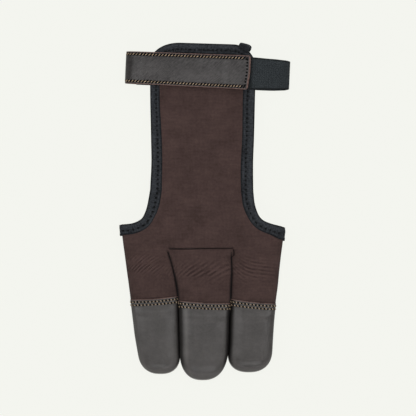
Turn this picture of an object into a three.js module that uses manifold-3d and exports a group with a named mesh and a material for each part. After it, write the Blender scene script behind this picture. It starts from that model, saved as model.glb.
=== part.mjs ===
// A three-finger archery glove for the string hand, lying flat with the back of the hand up.
// The fingers point along -Y, the wrist along +Y, and the glove rests on z = 0. Lengths are in
// millimetres. A cloth hand is open over the palm. Its back runs on as a long panel to a strap
// that closes round the wrist. The middle finger's stall is let into the back with a seam, and
// leather caps are sewn over all three stalls.
import * as THREE from "three";
import { mergeVertices } from "three/addons/utils/BufferGeometryUtils.js";
import Module from "manifold-3d";

const wasm = await Module();
wasm.setup();

// Driving dimensions of the hand. Places along Y are measured from the tip of the middle finger.
const gloveLength = 205;
const handWidth = 101;
const wingReach = 94;
const crotchReach = 68;
const insertReach = 80.2;
const palmSeamReach = 66.9;
const stallRoot = 77;
const palmDip = 6;
const panelWidth = 62;
const handHeight = 12.4;
const stallHeight = 13.4;
const rightWingDrop = 1.8;

// Walls and clearances.
const clothWall = 2;
const sleeveEndWall = 1.2;
const leatherWall = 1.6;
const skivedWall = 0.8;
const tapeWall = 0.6;
const tapeLeg = 5;
const gap = 0.3;

// Corners of the back panel at the wrist, whose edge runs down a little to the right.
const leftCornerWidth = 17;
const leftCornerHeight = 11;
const rightCorner = 9.5;
const wristDrop = 1.1;

// Leather caps.
const sleeveOverlap = 8;
const skiveLength = 4;

// Wrist strap, whose loop runs a little askew to the hand.
const strapBelowWrist = 16.2;
const strapReach = gloveLength - strapBelowWrist;
const strapTilt = THREE.MathUtils.degToRad(-2.6);
const tabWidth = 20.8;
const tabThickness = 2;
const tabCorner = 2;
const elasticWidth = 19.6;
const elasticThickness = 1.4;
const loopLeft = 47;
const loopRight = 53.6;
const tabEnd = 29.6;
const tabReturn = 15;
const padInset = 2.4;
const padMargin = 5;

// Lapped end of the binding tape.
const lapLength = 8;
const lapWidth = 5.4;
const lapThickness = 2.2;
const lapFromSide = 4.8;
const lapFromWrist = 3.2;

const beyond = 2 * gloveLength;

// Side lines of the hand and of the fingers. along is a share of wingReach, and the rest are
// shares of half the hand's width.
const SIDE_LINES = [
  { along: 0.0, left: -0.725, indexMiddle: -0.278, middleRing: 0.284, right: 0.82 },
  { along: 0.106, left: -0.757, indexMiddle: -0.274, middleRing: 0.297, right: 0.833 },
  { along: 0.191, left: -0.786, indexMiddle: -0.276, middleRing: 0.31, right: 0.843 },
  { along: 0.298, left: -0.819, indexMiddle: -0.279, middleRing: 0.319, right: 0.854 },
  { along: 0.404, left: -0.842, indexMiddle: -0.285, middleRing: 0.325, right: 0.867 },
  { along: 0.51, left: -0.866, indexMiddle: -0.289, middleRing: 0.339, right: 0.886 },
  { along: 0.617, left: -0.891, indexMiddle: -0.317, middleRing: 0.347, right: 0.912 },
  { along: 0.713, left: -0.916, indexMiddle: -0.346, middleRing: 0.356, right: 0.929 },
  { along: 0.815, left: -0.94, indexMiddle: -0.406, middleRing: 0.348, right: 0.95 },
  { along: 0.91, left: -0.964, indexMiddle: -0.39, middleRing: 0.34, right: 0.97 },
  { along: 1.0, left: -0.984, indexMiddle: -0.39, middleRing: 0.335, right: 0.984 },
  { along: 2.4, left: -0.984, indexMiddle: -0.39, middleRing: 0.335, right: 0.984 },
];

// Height of the hand's cloth. along is a share of gloveLength, top and bottom are shares of handHeight.
const HAND_HEIGHTS = [
  { along: 0.33, top: 0.77, bottom: 0.0 },
  { along: 0.36, top: 0.88, bottom: 0.0 },
  { along: 0.385, top: 0.965, bottom: 0.04 },
  { along: 0.398, top: 0.98, bottom: 0.074 },
  { along: 0.425, top: 1.0, bottom: 0.073 },
  { along: 0.47, top: 1.0, bottom: 0.073 },
  { along: 0.53, top: 0.93, bottom: 0.073 },
  { along: 0.61, top: 0.83, bottom: 0.073 },
  { along: 0.7, top: 0.79, bottom: 0.073 },
  { along: 0.82, top: 0.82, bottom: 0.073 },
  { along: 0.9, top: 0.845, bottom: 0.073 },
  { along: 1.1, top: 0.84, bottom: 0.073 },
];

// Height of the fingers' cloth and leather. along is a share of wingReach, top is a share of stallHeight.
const STALL_HEIGHTS = [
  { along: 0.0, top: 0.9 },
  { along: 0.2, top: 0.97 },
  { along: 0.35, top: 0.97 },
  { along: 0.52, top: 0.9 },
  { along: 0.62, top: 0.87 },
  { along: 0.72, top: 0.86 },
  { along: 0.79, top: 0.84 },
  { along: 0.88, top: 0.74 },
];

// Fingers. tip and the two edges of the leather are shares of wingReach, and round is the
// tip's length over its half width.
const FINGERS = [
  { name: "index", from: "left", to: "indexMiddle", tip: 0.04, round: 0.95, edgeLeft: 0.519, edgeRight: 0.545 },
  { name: "middle", from: "indexMiddle", to: "middleRing", tip: 0.0, round: 1.25, edgeLeft: 0.512, edgeRight: 0.5 },
  { name: "ring", from: "middleRing", to: "right", tip: 0.051, round: 0.96, edgeLeft: 0.528, edgeRight: 0.498 },
];

// Half width of the back panel's waist. along is a share of the way from the wings to the wrist edge.
const PANEL_SIDES = [
  { along: 0.22, left: 1.0, right: 0.962 },
  { along: 0.35, left: 0.983, right: 0.956 },
  { along: 0.47, left: 0.99, right: 0.972 },
  { along: 0.7, left: 1.003, right: 0.99 },
  { along: 0.83, left: 1.006, right: 1.0 },
];

// The scoop between panel and wing. out runs from the panel's side to the wing's end, and left
// and right are heights over the wing as shares of scoopHeight.
const SCOOP = [
  { out: 0.0, left: 1.5, right: 1.5 },
  { out: 0.03, left: 1.23, right: 1.07 },
  { out: 0.07, left: 0.91, right: 0.86 },
  { out: 0.12, left: 0.68, right: 0.68 },
  { out: 0.18, left: 0.49, right: 0.52 },
  { out: 0.24, left: 0.34, right: 0.41 },
  { out: 0.31, left: 0.24, right: 0.33 },
  { out: 0.4, left: 0.17, right: 0.26 },
  { out: 0.52, left: 0.1, right: 0.2 },
  { out: 0.66, left: 0.05, right: 0.14 },
  { out: 0.8, left: 0.03, right: 0.09 },
  { out: 0.92, left: 0.02, right: 0.04 },
];
const scoopHeight = 15;

// Centre line of the elastic, from its sewn end over the fold and back behind the glove. out is a
// share of loopRight and up is a share of the height of the sewn end.
const ELASTIC_FOLD = [
  { out: 0.72, up: 0.97, width: 1.0 },
  { out: 0.85, up: 0.8, width: 0.98 },
  { out: 0.945, up: 0.55, width: 0.93 },
  { out: 0.985, up: 0.3, width: 0.88 },
  { out: 0.955, up: 0.1, width: 0.93 },
  { out: 0.89, up: 0.014, width: 0.96 },
  { out: 0.81, up: 0.0, width: 0.99 },
];

// Centre line of the tab's fold, from behind the glove round to the front. out is a share of loopLeft.
const TAB_FOLD = [
  { out: 0.78, up: 0.0 },
  { out: 0.87, up: 0.014 },
  { out: 0.945, up: 0.1 },
  { out: 0.978, up: 0.32 },
  { out: 0.965, up: 0.6 },
  { out: 0.9, up: 0.83 },
  { out: 0.8, up: 0.95 },
];

// A column of a table at a given place, by straight lines between its rows.
function column(table, name, along) {
  const next = table.findIndex((row) => row.along >= along);
  if (next === 0) return table[0][name];
  if (next < 0) return table[table.length - 1][name];
  const low = table[next - 1];
  const high = table[next];
  return THREE.MathUtils.mapLinear(along, low.along, high.along, low[name], high[name]);
}

const sideLine = (name, y) => column(SIDE_LINES, name, y / wingReach) * handWidth / 2;

// One closed section across Y. Top and bottom share their x, so that a loft's ends close in simple strips.
const FLATNESS = 3;
const FOLD_SHARE = 0.46;
function ring(y, left, right, bottom, top, columns) {
  const fold = THREE.MathUtils.lerp(bottom, top, FOLD_SHARE);
  const upper = [];
  const lower = [];
  for (let i = 0; i <= columns; i++) {
    const across = Math.sin((i / columns - 0.5) * Math.PI);
    const arch = Math.max(0, 1 - Math.abs(across) ** FLATNESS) ** (1 / FLATNESS);
    const x = (left + right) / 2 + across * (right - left) / 2;
    upper.push([x, y, fold + arch * (top - fold)]);
    lower.push([x, y, fold - arch * (fold - bottom)]);
  }
  return { upper, lower };
}

// Closes rows of points into a solid, with strips between the upper and lower points at both ends.
function loft(rings) {
  const points = [];
  const around = rings.map(({ upper, lower }) => {
    const start = points.length / 3;
    const loop = [...upper, ...lower.slice(1, -1).reverse()];
    loop.forEach((p) => points.push(...p));
    return loop.map((_, i) => start + i);
  });
  const faces = [];
  const quad = (a, b, c, d) => faces.push(a, b, c, a, c, d);
  for (let r = 0; r + 1 < around.length; r++) {
    const [here, next] = [around[r], around[r + 1]];
    here.forEach((_, i) => {
      const j = (i + 1) % here.length;
      quad(here[i], here[j], next[j], next[i]);
    });
  }
  const last = rings[0].upper.length - 1;
  const size = around[0].length;
  const close = (loop, flip) => {
    for (let i = 0; i < last; i++) {
      const corners = [loop[i], loop[i + 1], loop[(size - i - 1) % size], loop[(size - i) % size]];
      const distinct = corners.filter((v, n) => corners.indexOf(v) === n);
      if (flip) distinct.reverse();
      faces.push(distinct[0], distinct[1], distinct[2]);
      if (distinct.length === 4) faces.push(distinct[0], distinct[2], distinct[3]);
    }
  };
  close(around[0], true);
  close(around[around.length - 1], false);
  return solidFrom(points, faces);
}

function solidFrom(points, faces) {
  const vertProperties = new Float32Array(points);
  const triVerts = new Uint32Array(faces);
  return new wasm.Manifold(new wasm.Mesh({ numProp: 3, vertProperties, triVerts }));
}

// A solid from a closed three.js geometry.
function solidOf(geometry) {
  const bare = geometry.clone();
  bare.deleteAttribute("normal");
  bare.deleteAttribute("uv");
  const merged = mergeVertices(bare, 1e-4);
  return solidFrom(merged.attributes.position.array, merged.index.array);
}

// A prism over a flat outline, from one height to another.
function prism(outline, low, high) {
  const shape = new THREE.Shape(outline.map(([x, y]) => new THREE.Vector2(x, y)));
  const geometry = new THREE.ExtrudeGeometry(shape, { depth: 1, bevelEnabled: false });
  const corners = geometry.attributes.position;
  for (let i = 0; i < corners.count; i++) corners.setZ(i, corners.getZ(i) > 0.5 ? high : low);
  return solidOf(geometry);
}

// The places of a loft's sections between two ends, at most step apart and on the rows of a table between them.
const CLOSEST = 2;
function stations(from, to, step, marks) {
  const stops = [from];
  marks.forEach((m) => {
    if (m > stops[stops.length - 1] + CLOSEST && m < to - CLOSEST) stops.push(m);
  });
  stops.push(to);
  const places = [from];
  for (let i = 0; i + 1 < stops.length; i++) {
    const count = Math.max(1, Math.ceil((stops[i + 1] - stops[i]) / step));
    for (let n = 1; n <= count; n++) places.push(THREE.MathUtils.lerp(stops[i], stops[i + 1], n / count));
  }
  return places;
}

// Cloth of the hand as a closed bag. inset moves every face inwards, and a negative inset outwards.
const HAND_COLUMNS = 16;
function handBag(inset) {
  const marks = [
    ...SIDE_LINES.map((row) => row.along * wingReach),
    ...HAND_HEIGHTS.map((row) => row.along * gloveLength),
  ].sort((a, b) => a - b);
  const places = stations(crotchReach, gloveLength * 1.05, 16, marks);
  places[0] += inset;
  return loft(
    places.map((y) =>
      ring(
        y,
        sideLine("left", y) + inset,
        sideLine("right", y) - inset,
        column(HAND_HEIGHTS, "bottom", y / gloveLength) * handHeight + inset,
        column(HAND_HEIGHTS, "top", y / gloveLength) * handHeight - inset,
        HAND_COLUMNS,
      ),
    ),
  );
}

// A finger from its tip to a place above the crotch. insetAt gives how far its faces lie inside
// the leather's outside.
const FINGER_COLUMNS = 10;
const TIP_STEPS = 4;
const TIP_POWER = 2.4;
const TIP_DEPTH = 0.75;
function fingerBody(finger, from, to, insetAt) {
  const tip = finger.tip * wingReach + insetAt(0);
  const widthAt = (y) => sideLine(finger.to, y) - sideLine(finger.from, y) - gap;
  const round = (finger.round * widthAt(finger.tip * wingReach)) / 2;
  const share = (reach, length) => {
    const left = 1 - Math.min(1, reach / length);
    return (1 - left ** TIP_POWER) ** (1 / TIP_POWER);
  };
  const tipPlaces = [];
  for (let n = 0; n < TIP_STEPS; n++) {
    const angle = THREE.MathUtils.mapLinear(n, 0, TIP_STEPS - 1, 0.14, 1.35);
    tipPlaces.push(tip + round * (1 - Math.cos(angle)));
  }
  const rows = SIDE_LINES.map((row) => row.along * wingReach);
  const marks = [tip + round * 1.05, ...rows].filter((y) => y > tip + round);
  const places = [...tipPlaces, ...stations(tip + round, to, 9, marks)].filter((y) => y >= from);
  if (from > tip) places.unshift(from);
  return loft(
    places.map((y) => {
      const inset = insetAt(y);
      const reach = Math.max(y - tip, 0.01);
      const middle = (sideLine(finger.to, y) + sideLine(finger.from, y)) / 2;
      const half = (widthAt(y) / 2 - inset) * share(reach, round);
      const top = column(STALL_HEIGHTS, "top", y / wingReach) * stallHeight - inset;
      const fold = THREE.MathUtils.lerp(inset, top, FOLD_SHARE);
      const rise = share(reach, round * TIP_DEPTH);
      return ring(
        y,
        middle - half,
        middle + half,
        fold - (fold - inset) * rise,
        fold + (top - fold) * rise,
        FINGER_COLUMNS,
      );
    }),
  );
}

const edgeAt = (finger, x) => {
  const left = sideLine(finger.from, finger.edgeLeft * wingReach);
  const right = sideLine(finger.to, finger.edgeRight * wingReach);
  return THREE.MathUtils.mapLinear(x, left, right, finger.edgeLeft, finger.edgeRight) * wingReach;
};
const highEdge = (finger) => Math.max(finger.edgeLeft, finger.edgeRight) * wingReach;
const lowEdge = (finger) => Math.min(finger.edgeLeft, finger.edgeRight) * wingReach;

// How far the leather's inside, and the cloth tucked into it, lie inside the leather's outside.
function leatherInset(finger, y) {
  const skived = THREE.MathUtils.clamp((y - (lowEdge(finger) - skiveLength)) / skiveLength, 0, 1);
  return THREE.MathUtils.lerp(leatherWall, skivedWall, skived);
}
function sleeveInset(finger, y) {
  const tucked = leatherInset(finger, y) + gap;
  const clear = highEdge(finger) + gap;
  return tucked * THREE.MathUtils.clamp(1 - (y - clear) / skiveLength, 0, 1);
}
function sleeveInside(finger, y) {
  const tucked = THREE.MathUtils.clamp((highEdge(finger) + skiveLength - y) / skiveLength, 0, 1);
  return sleeveInset(finger, y) + THREE.MathUtils.lerp(clothWall, sleeveEndWall, tucked);
}

// The edge of the opening, seen from above. The back's edge goes from wing to wing over the
// wrist, and the palm's goes straight back.
const panelHalf = panelWidth / 2;
const wingAt = (side) => wingReach - (rightWingDrop * (1 + side)) / 2;
const CORNER_STEPS = 5;
function backEdge() {
  const wristRun = gloveLength - wingReach;
  const side = (sign, name, width, height) => {
    const waist = panelHalf * PANEL_SIDES[0][name];
    const wing = handWidth / 2;
    const reach = wingAt(sign);
    const wrist = gloveLength - (wristDrop * (1 + sign)) / 2;
    const line = SCOOP.slice()
      .reverse()
      .map((row) => [
        sign * THREE.MathUtils.lerp(waist, wing, row.out),
        reach + row[name] * scoopHeight,
      ]);
    line.unshift([sign * beyond, reach]);
    PANEL_SIDES.forEach((row) => {
      const y = wingReach + row.along * wristRun;
      const last = line[line.length - 1];
      if (y < wrist - height && y > last[1]) line.push([sign * panelHalf * row[name], y]);
    });
    for (let n = 0; n <= CORNER_STEPS; n++) {
      const turn = ((n / CORNER_STEPS) * Math.PI) / 2;
      line.push([
        sign * (panelHalf - width * (1 - Math.cos(turn))),
        wrist - height * (1 - Math.sin(turn)),
      ]);
    }
    return line;
  };
  return [
    ...side(1, "right", rightCorner, rightCorner),
    ...side(-1, "left", leftCornerWidth, leftCornerHeight).reverse(),
  ];
}
const PALM_STEPS = 8;
function palmEdge() {
  const points = [[beyond, wingAt(1)]];
  for (let n = 0; n <= PALM_STEPS; n++) {
    const across = 1 - (2 * n) / PALM_STEPS;
    points.push([(across * handWidth) / 2, wingAt(across) - palmDip * (1 - across ** 2)]);
  }
  points.push([-beyond, wingAt(-1)]);
  return points;
}

// Moves an open line sideways. Positive distances lie to the right of its direction.
function besideLine(line, distance) {
  const heading = (a, b) => new THREE.Vector2(b[0] - a[0], b[1] - a[1]).normalize();
  return line.map(([x, y], i) => {
    const from = Math.min(i, line.length - 2);
    const leave = heading(line[from], line[from + 1]);
    const arrive = i === 0 ? leave : heading(line[i - 1], line[i]);
    const along = arrive.clone().add(leave).normalize();
    const reach = distance / along.dot(leave);
    return [x + along.y * reach, y - along.x * reach];
  });
}

// Everything on the fingers' side of the edge, moved outwards by a distance.
function insideEdge(distance) {
  const foldHeight = FOLD_SHARE * handHeight + 0.3;
  const region = (edge, low, high) =>
    prism([...besideLine(edge, distance), [-beyond, -beyond], [beyond, -beyond]], low, high);
  const back = region(backEdge(), foldHeight, beyond);
  const palm = region(palmEdge(), -beyond, foldHeight);
  return back.add(palm);
}

// The part of the glove that the middle finger's piece takes, grown by a clearance. On the palm
// it ends at its own seam.
function middleRegion(clearance) {
  const places = SIDE_LINES.map((row) => row.along * wingReach).filter((y) => y < insertReach - CLOSEST);
  const line = [-wingReach, ...places, insertReach + clearance];
  const outline = [
    ...line.map((y) => [sideLine("middleRing", y) + clearance, y]),
    ...line.reverse().map((y) => [sideLine("indexMiddle", y) - clearance, y]),
  ];
  const palm = [
    [-beyond, palmSeamReach + clearance],
    [beyond, palmSeamReach + clearance],
    [beyond, beyond],
    [-beyond, beyond],
  ];
  const backOnly = FOLD_SHARE * handHeight - clearance;
  return prism(outline, -beyond, beyond).subtract(prism(palm, -2 * beyond, backOnly));
}

// Cloth of the hand and the three stalls, before the middle finger's piece is parted from it.
function clothWalls() {
  const end = (finger) => lowEdge(finger) - sleeveOverlap;
  let outside = handBag(0);
  let inside = handBag(clothWall);
  for (const finger of FINGERS) {
    outside = outside.add(fingerBody(finger, end(finger), stallRoot, (y) => sleeveInset(finger, y)));
    inside = inside.add(fingerBody(finger, end(finger) - 1, stallRoot, (y) => sleeveInside(finger, y)));
  }
  return outside.subtract(inside).intersect(insideEdge(0));
}

// Tape folded over the edge: a band of thicker cloth round the edge, less the cloth and its clearance.
function bindingWalls() {
  const proud = gap + tapeWall;
  const thick = (grow) => handBag(-grow).subtract(handBag(clothWall + grow));
  const band = insideEdge(proud).subtract(insideEdge(-tapeLeg));
  return thick(proud).intersect(band).subtract(thick(gap).intersect(insideEdge(gap)));
}

// A leather cap: the finger's outside less its inside, cut off along its slanting edge.
function capWalls(finger) {
  const top = highEdge(finger) + 2;
  const outside = fingerBody(finger, -beyond, top, () => 0);
  const inside = fingerBody(finger, -beyond, top + 1, (y) => leatherInset(finger, y));
  const edge = prism(
    [
      [-beyond, edgeAt(finger, -beyond)],
      [beyond, edgeAt(finger, beyond)],
      [beyond, 4 * beyond],
      [-beyond, 4 * beyond],
    ],
    -beyond,
    beyond,
  );
  return outside.subtract(inside).subtract(edge);
}

// A flat band along a centre line in the XZ plane. Each point of the line has the band's width there.
function band(line, thickness) {
  const rings = line.map((here, i) => {
    const before = line[Math.max(0, i - 1)];
    const after = line[Math.min(line.length - 1, i + 1)];
    const along = new THREE.Vector2(after.x - before.x, after.z - before.z).normalize();
    const side = [(-along.y * thickness) / 2, (along.x * thickness) / 2];
    const corner = (s, w) => [here.x + s * side[0], (w * here.width) / 2, here.z + s * side[1]];
    return [corner(1, -1), corner(1, 1), corner(-1, 1), corner(-1, -1)];
  });
  const points = rings.flat(2);
  const faces = [];
  const quad = (a, b, c, d) => faces.push(a, b, c, a, c, d);
  for (let r = 0; r + 1 < rings.length; r++) {
    for (let i = 0; i < 4; i++) {
      const j = (i + 1) % 4;
      quad(4 * r + i, 4 * (r + 1) + i, 4 * (r + 1) + j, 4 * r + j);
    }
  }
  const end = 4 * (rings.length - 1);
  quad(0, 1, 2, 3);
  quad(end, end + 3, end + 2, end + 1);
  return solidFrom(points, faces);
}

// Points of a smooth curve through hand-set places, none of them lower than its lowest place.
function smooth(places, steps) {
  const curve = new THREE.CatmullRomCurve3(
    places.map((p) => new THREE.Vector3(p.x, p.width, p.z)),
    false,
    "centripetal",
  );
  const lowest = Math.min(...places.map((p) => p.z));
  return curve.getPoints(steps).map((p) => ({ x: p.x, z: Math.max(p.z, lowest), width: p.y }));
}

// Heights of the strap's layers over the back panel, from the table of the hand's height.
const panelTop = column(HAND_HEIGHTS, "top", strapReach / gloveLength) * handHeight;
const tapeTop = panelTop + gap + tapeWall;
const elasticFront = tapeTop + gap + elasticThickness / 2;
const tabLow = tapeTop + gap + tabThickness / 2;
const tabHigh = elasticFront + elasticThickness / 2 + gap + tabThickness / 2;
const elasticBack = elasticThickness / 2;
const elasticOverTab = tabThickness + gap + elasticThickness / 2;
const sewnEnd = tabEnd - 12;
const tabBack = -loopLeft + tabReturn;

function elasticLine() {
  const lift = elasticFront - elasticBack;
  const fold = ELASTIC_FOLD.map((row) => ({
    x: row.out * loopRight,
    z: elasticBack + row.up * lift,
    width: row.width * elasticWidth,
  }));
  const flat = (x, z) => ({ x, z, width: elasticWidth });
  return smooth(
    [
      flat(sewnEnd, elasticFront),
      flat((sewnEnd + panelHalf) / 2, elasticFront),
      flat(panelHalf, elasticFront),
      ...fold,
      flat(loopRight * 0.5, elasticBack),
      flat(0, elasticBack),
      flat(tabBack + 6, elasticBack),
      flat(tabBack + 4, elasticBack + gap),
      flat(tabBack, elasticOverTab),
      flat(tabBack - 4, elasticOverTab),
      flat(tabBack - 8, elasticOverTab),
    ],
    42,
  );
}

function tabLine() {
  const back = tabThickness / 2;
  const flat = (x, z) => ({ x, z, width: tabWidth });
  const fold = TAB_FOLD.map((row) => flat(-row.out * loopLeft, back + row.up * (tabLow - back)));
  const places = [
    flat(tabBack, back),
    flat((tabBack - loopLeft * TAB_FOLD[0].out) / 2, back),
    ...fold,
    flat(-panelHalf, tabLow),
    flat(-panelHalf / 2, tabLow + 0.1),
    flat(sewnEnd - 6, (tabLow + tabHigh) / 2),
    flat(sewnEnd, tabHigh),
    flat(tabEnd, tabHigh),
  ];
  const line = smooth(places, 36);
  // The free end's corners are quarter rounds, so the last stretch is cut again at their steps.
  const inner = line.filter((p) => p.z < tabLow || p.x < tabEnd - tabCorner);
  for (let n = 0; n <= 4; n++) {
    const turn = ((n / 4) * Math.PI) / 2;
    inner.push({
      x: tabEnd - tabCorner * (1 - Math.sin(turn)),
      z: tabHigh,
      width: tabWidth - 2 * tabCorner * (1 - Math.cos(turn)),
    });
  }
  return inner;
}

// The pad fills the space between the panel and the tab, clear of the elastic's sewn end.
function padWalls() {
  const left = -panelHalf + tapeLeg + padMargin;
  const right = sewnEnd - 2 * gap;
  const low = panelTop + gap;
  const line = tabLine().filter((p) => p.x > left && p.x < right && p.z > tabLow - 0.5);
  const under = line.map((p) => [p.x, p.z - tabThickness / 2 - gap]);
  const outline = [[under[0][0], low], [under[under.length - 1][0], low], ...under.reverse()];
  const width = tabWidth - 2 * padInset;
  return prism(outline, -width / 2, width / 2).rotate([90, 0, 0]);
}

// The tape's lapped end: a short folded strip that lies over the corner of the binding and stands out past it.
function lapWalls() {
  const arch = [];
  const steps = 8;
  for (let n = 0; n <= steps; n++) {
    const across = (2 * n) / steps - 1;
    arch.push([(across * lapLength) / 2, lapThickness * (1 - 0.55 * across ** 2)]);
  }
  const outline = [[-lapLength / 2, 0], [lapLength / 2, 0], ...arch.reverse()];
  return prism(outline, -lapWidth / 2, lapWidth / 2).rotate([90, 0, 0]);
}

function meshOf(name, solid, material) {
  const { numProp, vertProperties, triVerts } = solid.getMesh();
  const points = new Float32Array((vertProperties.length / numProp) * 3);
  for (let i = 0; i < points.length / 3; i++) {
    points.set(vertProperties.subarray(i * numProp, i * numProp + 3), i * 3);
  }
  const geometry = new THREE.BufferGeometry();
  geometry.setAttribute("position", new THREE.BufferAttribute(points, 3));
  geometry.setIndex(new THREE.BufferAttribute(triVerts, 1));
  geometry.computeVertexNormals();
  const mesh = new THREE.Mesh(geometry, material);
  mesh.name = name;
  return mesh;
}

const finish = (color, roughness) =>
  new THREE.MeshStandardMaterial({ color, roughness, metalness: 0 });
const cloth = finish(0x453735, 0.9);
const capLeather = finish(0x52504e, 0.5);
const tabLeather = finish(0x4d4b4b, 0.55);
const tape = finish(0x2c2e32, 0.85);
const elastic = finish(0x303436, 0.85);
const padding = finish(0x1d1e20, 1);

const glove = new THREE.Group();

const walls = clothWalls();
glove.add(meshOf("hand_shell", walls.subtract(middleRegion(gap)), cloth));
glove.add(meshOf("middle_stall", walls.intersect(middleRegion(0)), cloth));
for (const finger of FINGERS) glove.add(meshOf(`${finger.name}_cap`, capWalls(finger), capLeather));
glove.add(meshOf("edge_binding", bindingWalls(), tape));

const lap = meshOf("binding_overlap", lapWalls(), tape);
lap.position.set(panelHalf - lapFromSide, gloveLength - lapFromWrist, tapeTop + gap);
lap.rotation.z = THREE.MathUtils.degToRad(-28);
glove.add(lap);

const strap = new THREE.Group();
strap.position.y = strapReach;
strap.rotation.z = strapTilt;
strap.add(meshOf("wrist_elastic", band(elasticLine(), elasticThickness), elastic));
strap.add(meshOf("strap_tab", band(tabLine(), tabThickness), tabLeather));
strap.add(meshOf("closure_pad", padWalls(), padding));
glove.add(strap);

// The origin is the middle of the glove's box, on the surface that it lies on.
const box = new THREE.Box3().setFromObject(glove);
const centre = box.getCenter(new THREE.Vector3());
glove.position.set(-centre.x, -centre.y, -box.min.z);

export default glove;
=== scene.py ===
import math

import bmesh
import bpy
import numpy as np
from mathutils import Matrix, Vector


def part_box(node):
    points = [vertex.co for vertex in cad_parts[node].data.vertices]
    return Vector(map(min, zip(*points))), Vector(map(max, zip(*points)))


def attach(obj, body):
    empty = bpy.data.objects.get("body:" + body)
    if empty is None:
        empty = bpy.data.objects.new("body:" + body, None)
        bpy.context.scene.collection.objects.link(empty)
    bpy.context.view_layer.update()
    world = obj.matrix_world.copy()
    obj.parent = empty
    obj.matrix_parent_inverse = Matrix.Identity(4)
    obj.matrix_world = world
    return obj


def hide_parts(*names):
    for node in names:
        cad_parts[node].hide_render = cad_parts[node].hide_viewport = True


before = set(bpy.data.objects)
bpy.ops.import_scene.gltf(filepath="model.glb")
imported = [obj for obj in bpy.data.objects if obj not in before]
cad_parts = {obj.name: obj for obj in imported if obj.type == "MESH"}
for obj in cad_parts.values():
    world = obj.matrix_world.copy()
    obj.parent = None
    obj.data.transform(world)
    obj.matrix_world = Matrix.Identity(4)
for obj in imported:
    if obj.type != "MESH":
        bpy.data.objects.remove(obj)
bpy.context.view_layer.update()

bl_info = {
    "name": "Archery glove",
    "version": (1, 0, 0),
    "blender": (4, 5, 0),
    "location": "3D View > Sidebar > Glove",
    "description": "A three-finger archery glove lying flat with the back of the hand up",
    "category": "Add Mesh",
}

# Lengths are in millimetres. In the hand's own frame y runs from the tip of the middle finger to the wrist, x to the
# strap's elastic side, and z up from the table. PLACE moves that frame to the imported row's frame.
# HALF is half the hand's width and WING the y of its wings. FOLD is the height of a tube's side fold as a share of its
# own, CROTCH the y where the fingers part, and PANEL half the back panel's width. A corner's numbers are how wide and
# how high it is. HALF_WALL is how deep the edge's path lies in the cloth, GAP the air between the strap's layers, and
# CLOTH_SHORT how far the cloth ends short of LENGTH.
MM = 0.001
HALF = 50.5
WING = 94.0
LENGTH = 205.0
HAND_HEIGHT = 12.4
STALL_HEIGHT = 13.4
FLATNESS = 3.0
FOLD = 0.46
CROTCH = 66.0
INSERT_TOP = 80.3
PALM_SEAM = 66.9
PANEL = 31.0
LEFT_CORNER = (17.0, 11.0)
RIGHT_CORNER = (12.5, 13.5)
WRIST_DROP = 1.1
WING_DROP = 1.8
PALM_DIP = 6.0
SCOOP_HEIGHT = 15.0
TAPE_PROUD = 0.9
SLIT = -0.02
TUCK = 1.35
WING_END = 0.984
CAP_PROUD = 0.12
CAP_OFFSET = 0.17
SOLE = 0.3
EDGE_BOW = 0.5
SEAM_DEPTH = 1.1
HALF_WALL = 0.95
GAP = 0.3
CLOTH_START = 43.0
CLOTH_SHORT = 0.4
TIP_POWER = 2.4
TIP_DEPTH = 0.75
TIP_REACH = 50.45
TAPE_WALL = 0.5
END_MARGIN = 0.35
TAB_GROOVE = 0.16
INK = (0.003, 0.003, 0.003)

# The stitches' place on the tape's section, their slant over the leather and their least height over the table. The
# sine of GOLDEN_ANGLE times a thread's number tells how far askew it lies.
STITCH_DEPTH = 3.15
STITCH_OUT = 1.46
THREAD_SLANT = 0.9
THREAD_FLOOR = 0.02
GOLDEN_ANGLE = 2.399

# How finely the pieces are divided, and how near each other their points are merged.
CLOTH_COLUMNS = 52
CAP_COLUMNS = 48
STRAP_COLUMNS = 41
THREAD_RINGS = 7
THREAD_SIDES = 6
SHEET_WELD = 0.004
THREAD_WELD = 0.001

# The photo's side in pixels, millimetres to a pixel, and the place of the middle finger's tip in it. Then, in metres,
# the camera's height over the table and that of the level whose scale is the photo's. SENSOR is the camera's own width
# in millimetres, and FLOOR_REACH half the floor's side in metres.
PICTURE = 416
PIXEL = 0.61
TIP_AT = (202.5, 380.3)
EYE_HEIGHT = 2.6
SCALE_HEIGHT = 0.008
SENSOR = 36
FLOOR_REACH = 3.0

PLACE = np.array(
    [
        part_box("hand_shell")[0][0] / MM + WING_END * HALF,
        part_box("middle_cap")[0][1] / MM - CAP_OFFSET,
        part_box("hand_shell")[0][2] / MM,
    ]
)


def rows(names, *values):
    """A table with a named column for each word in names and one row for each tuple."""
    return np.array(list(values), dtype=[(name, "f8") for name in names.split()])


# Side lines of the hand and fingers. along is a share of WING and the rest are shares of HALF.
SIDE_LINES = rows(
    "along left index_middle middle_ring right",
    (0.000, -0.725, -0.278, 0.284, 0.820),
    (0.106, -0.757, -0.274, 0.297, 0.833),
    (0.191, -0.786, -0.276, 0.310, 0.843),
    (0.298, -0.819, -0.279, 0.319, 0.854),
    (0.404, -0.842, -0.285, 0.325, 0.867),
    (0.510, -0.866, -0.291, 0.339, 0.886),
    (0.617, -0.891, -0.313, 0.347, 0.912),
    (0.713, -0.916, -0.352, 0.354, 0.929),
    (0.770, -0.930, -0.380, 0.351, 0.941),
    (0.824, -0.943, -0.413, 0.349, 0.952),
    (0.860, -0.952, -0.432, 0.352, 0.960),
    (0.910, -0.964, -0.450, 0.350, 0.970),
    (1.000, -0.984, -0.440, 0.340, 0.984),
    (1.900, -0.984, -0.430, 0.337, 0.984),
    (2.120, -0.984, -0.240, 0.335, 0.984),
    (2.400, -0.984, -0.240, 0.335, 0.984),
)

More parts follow.
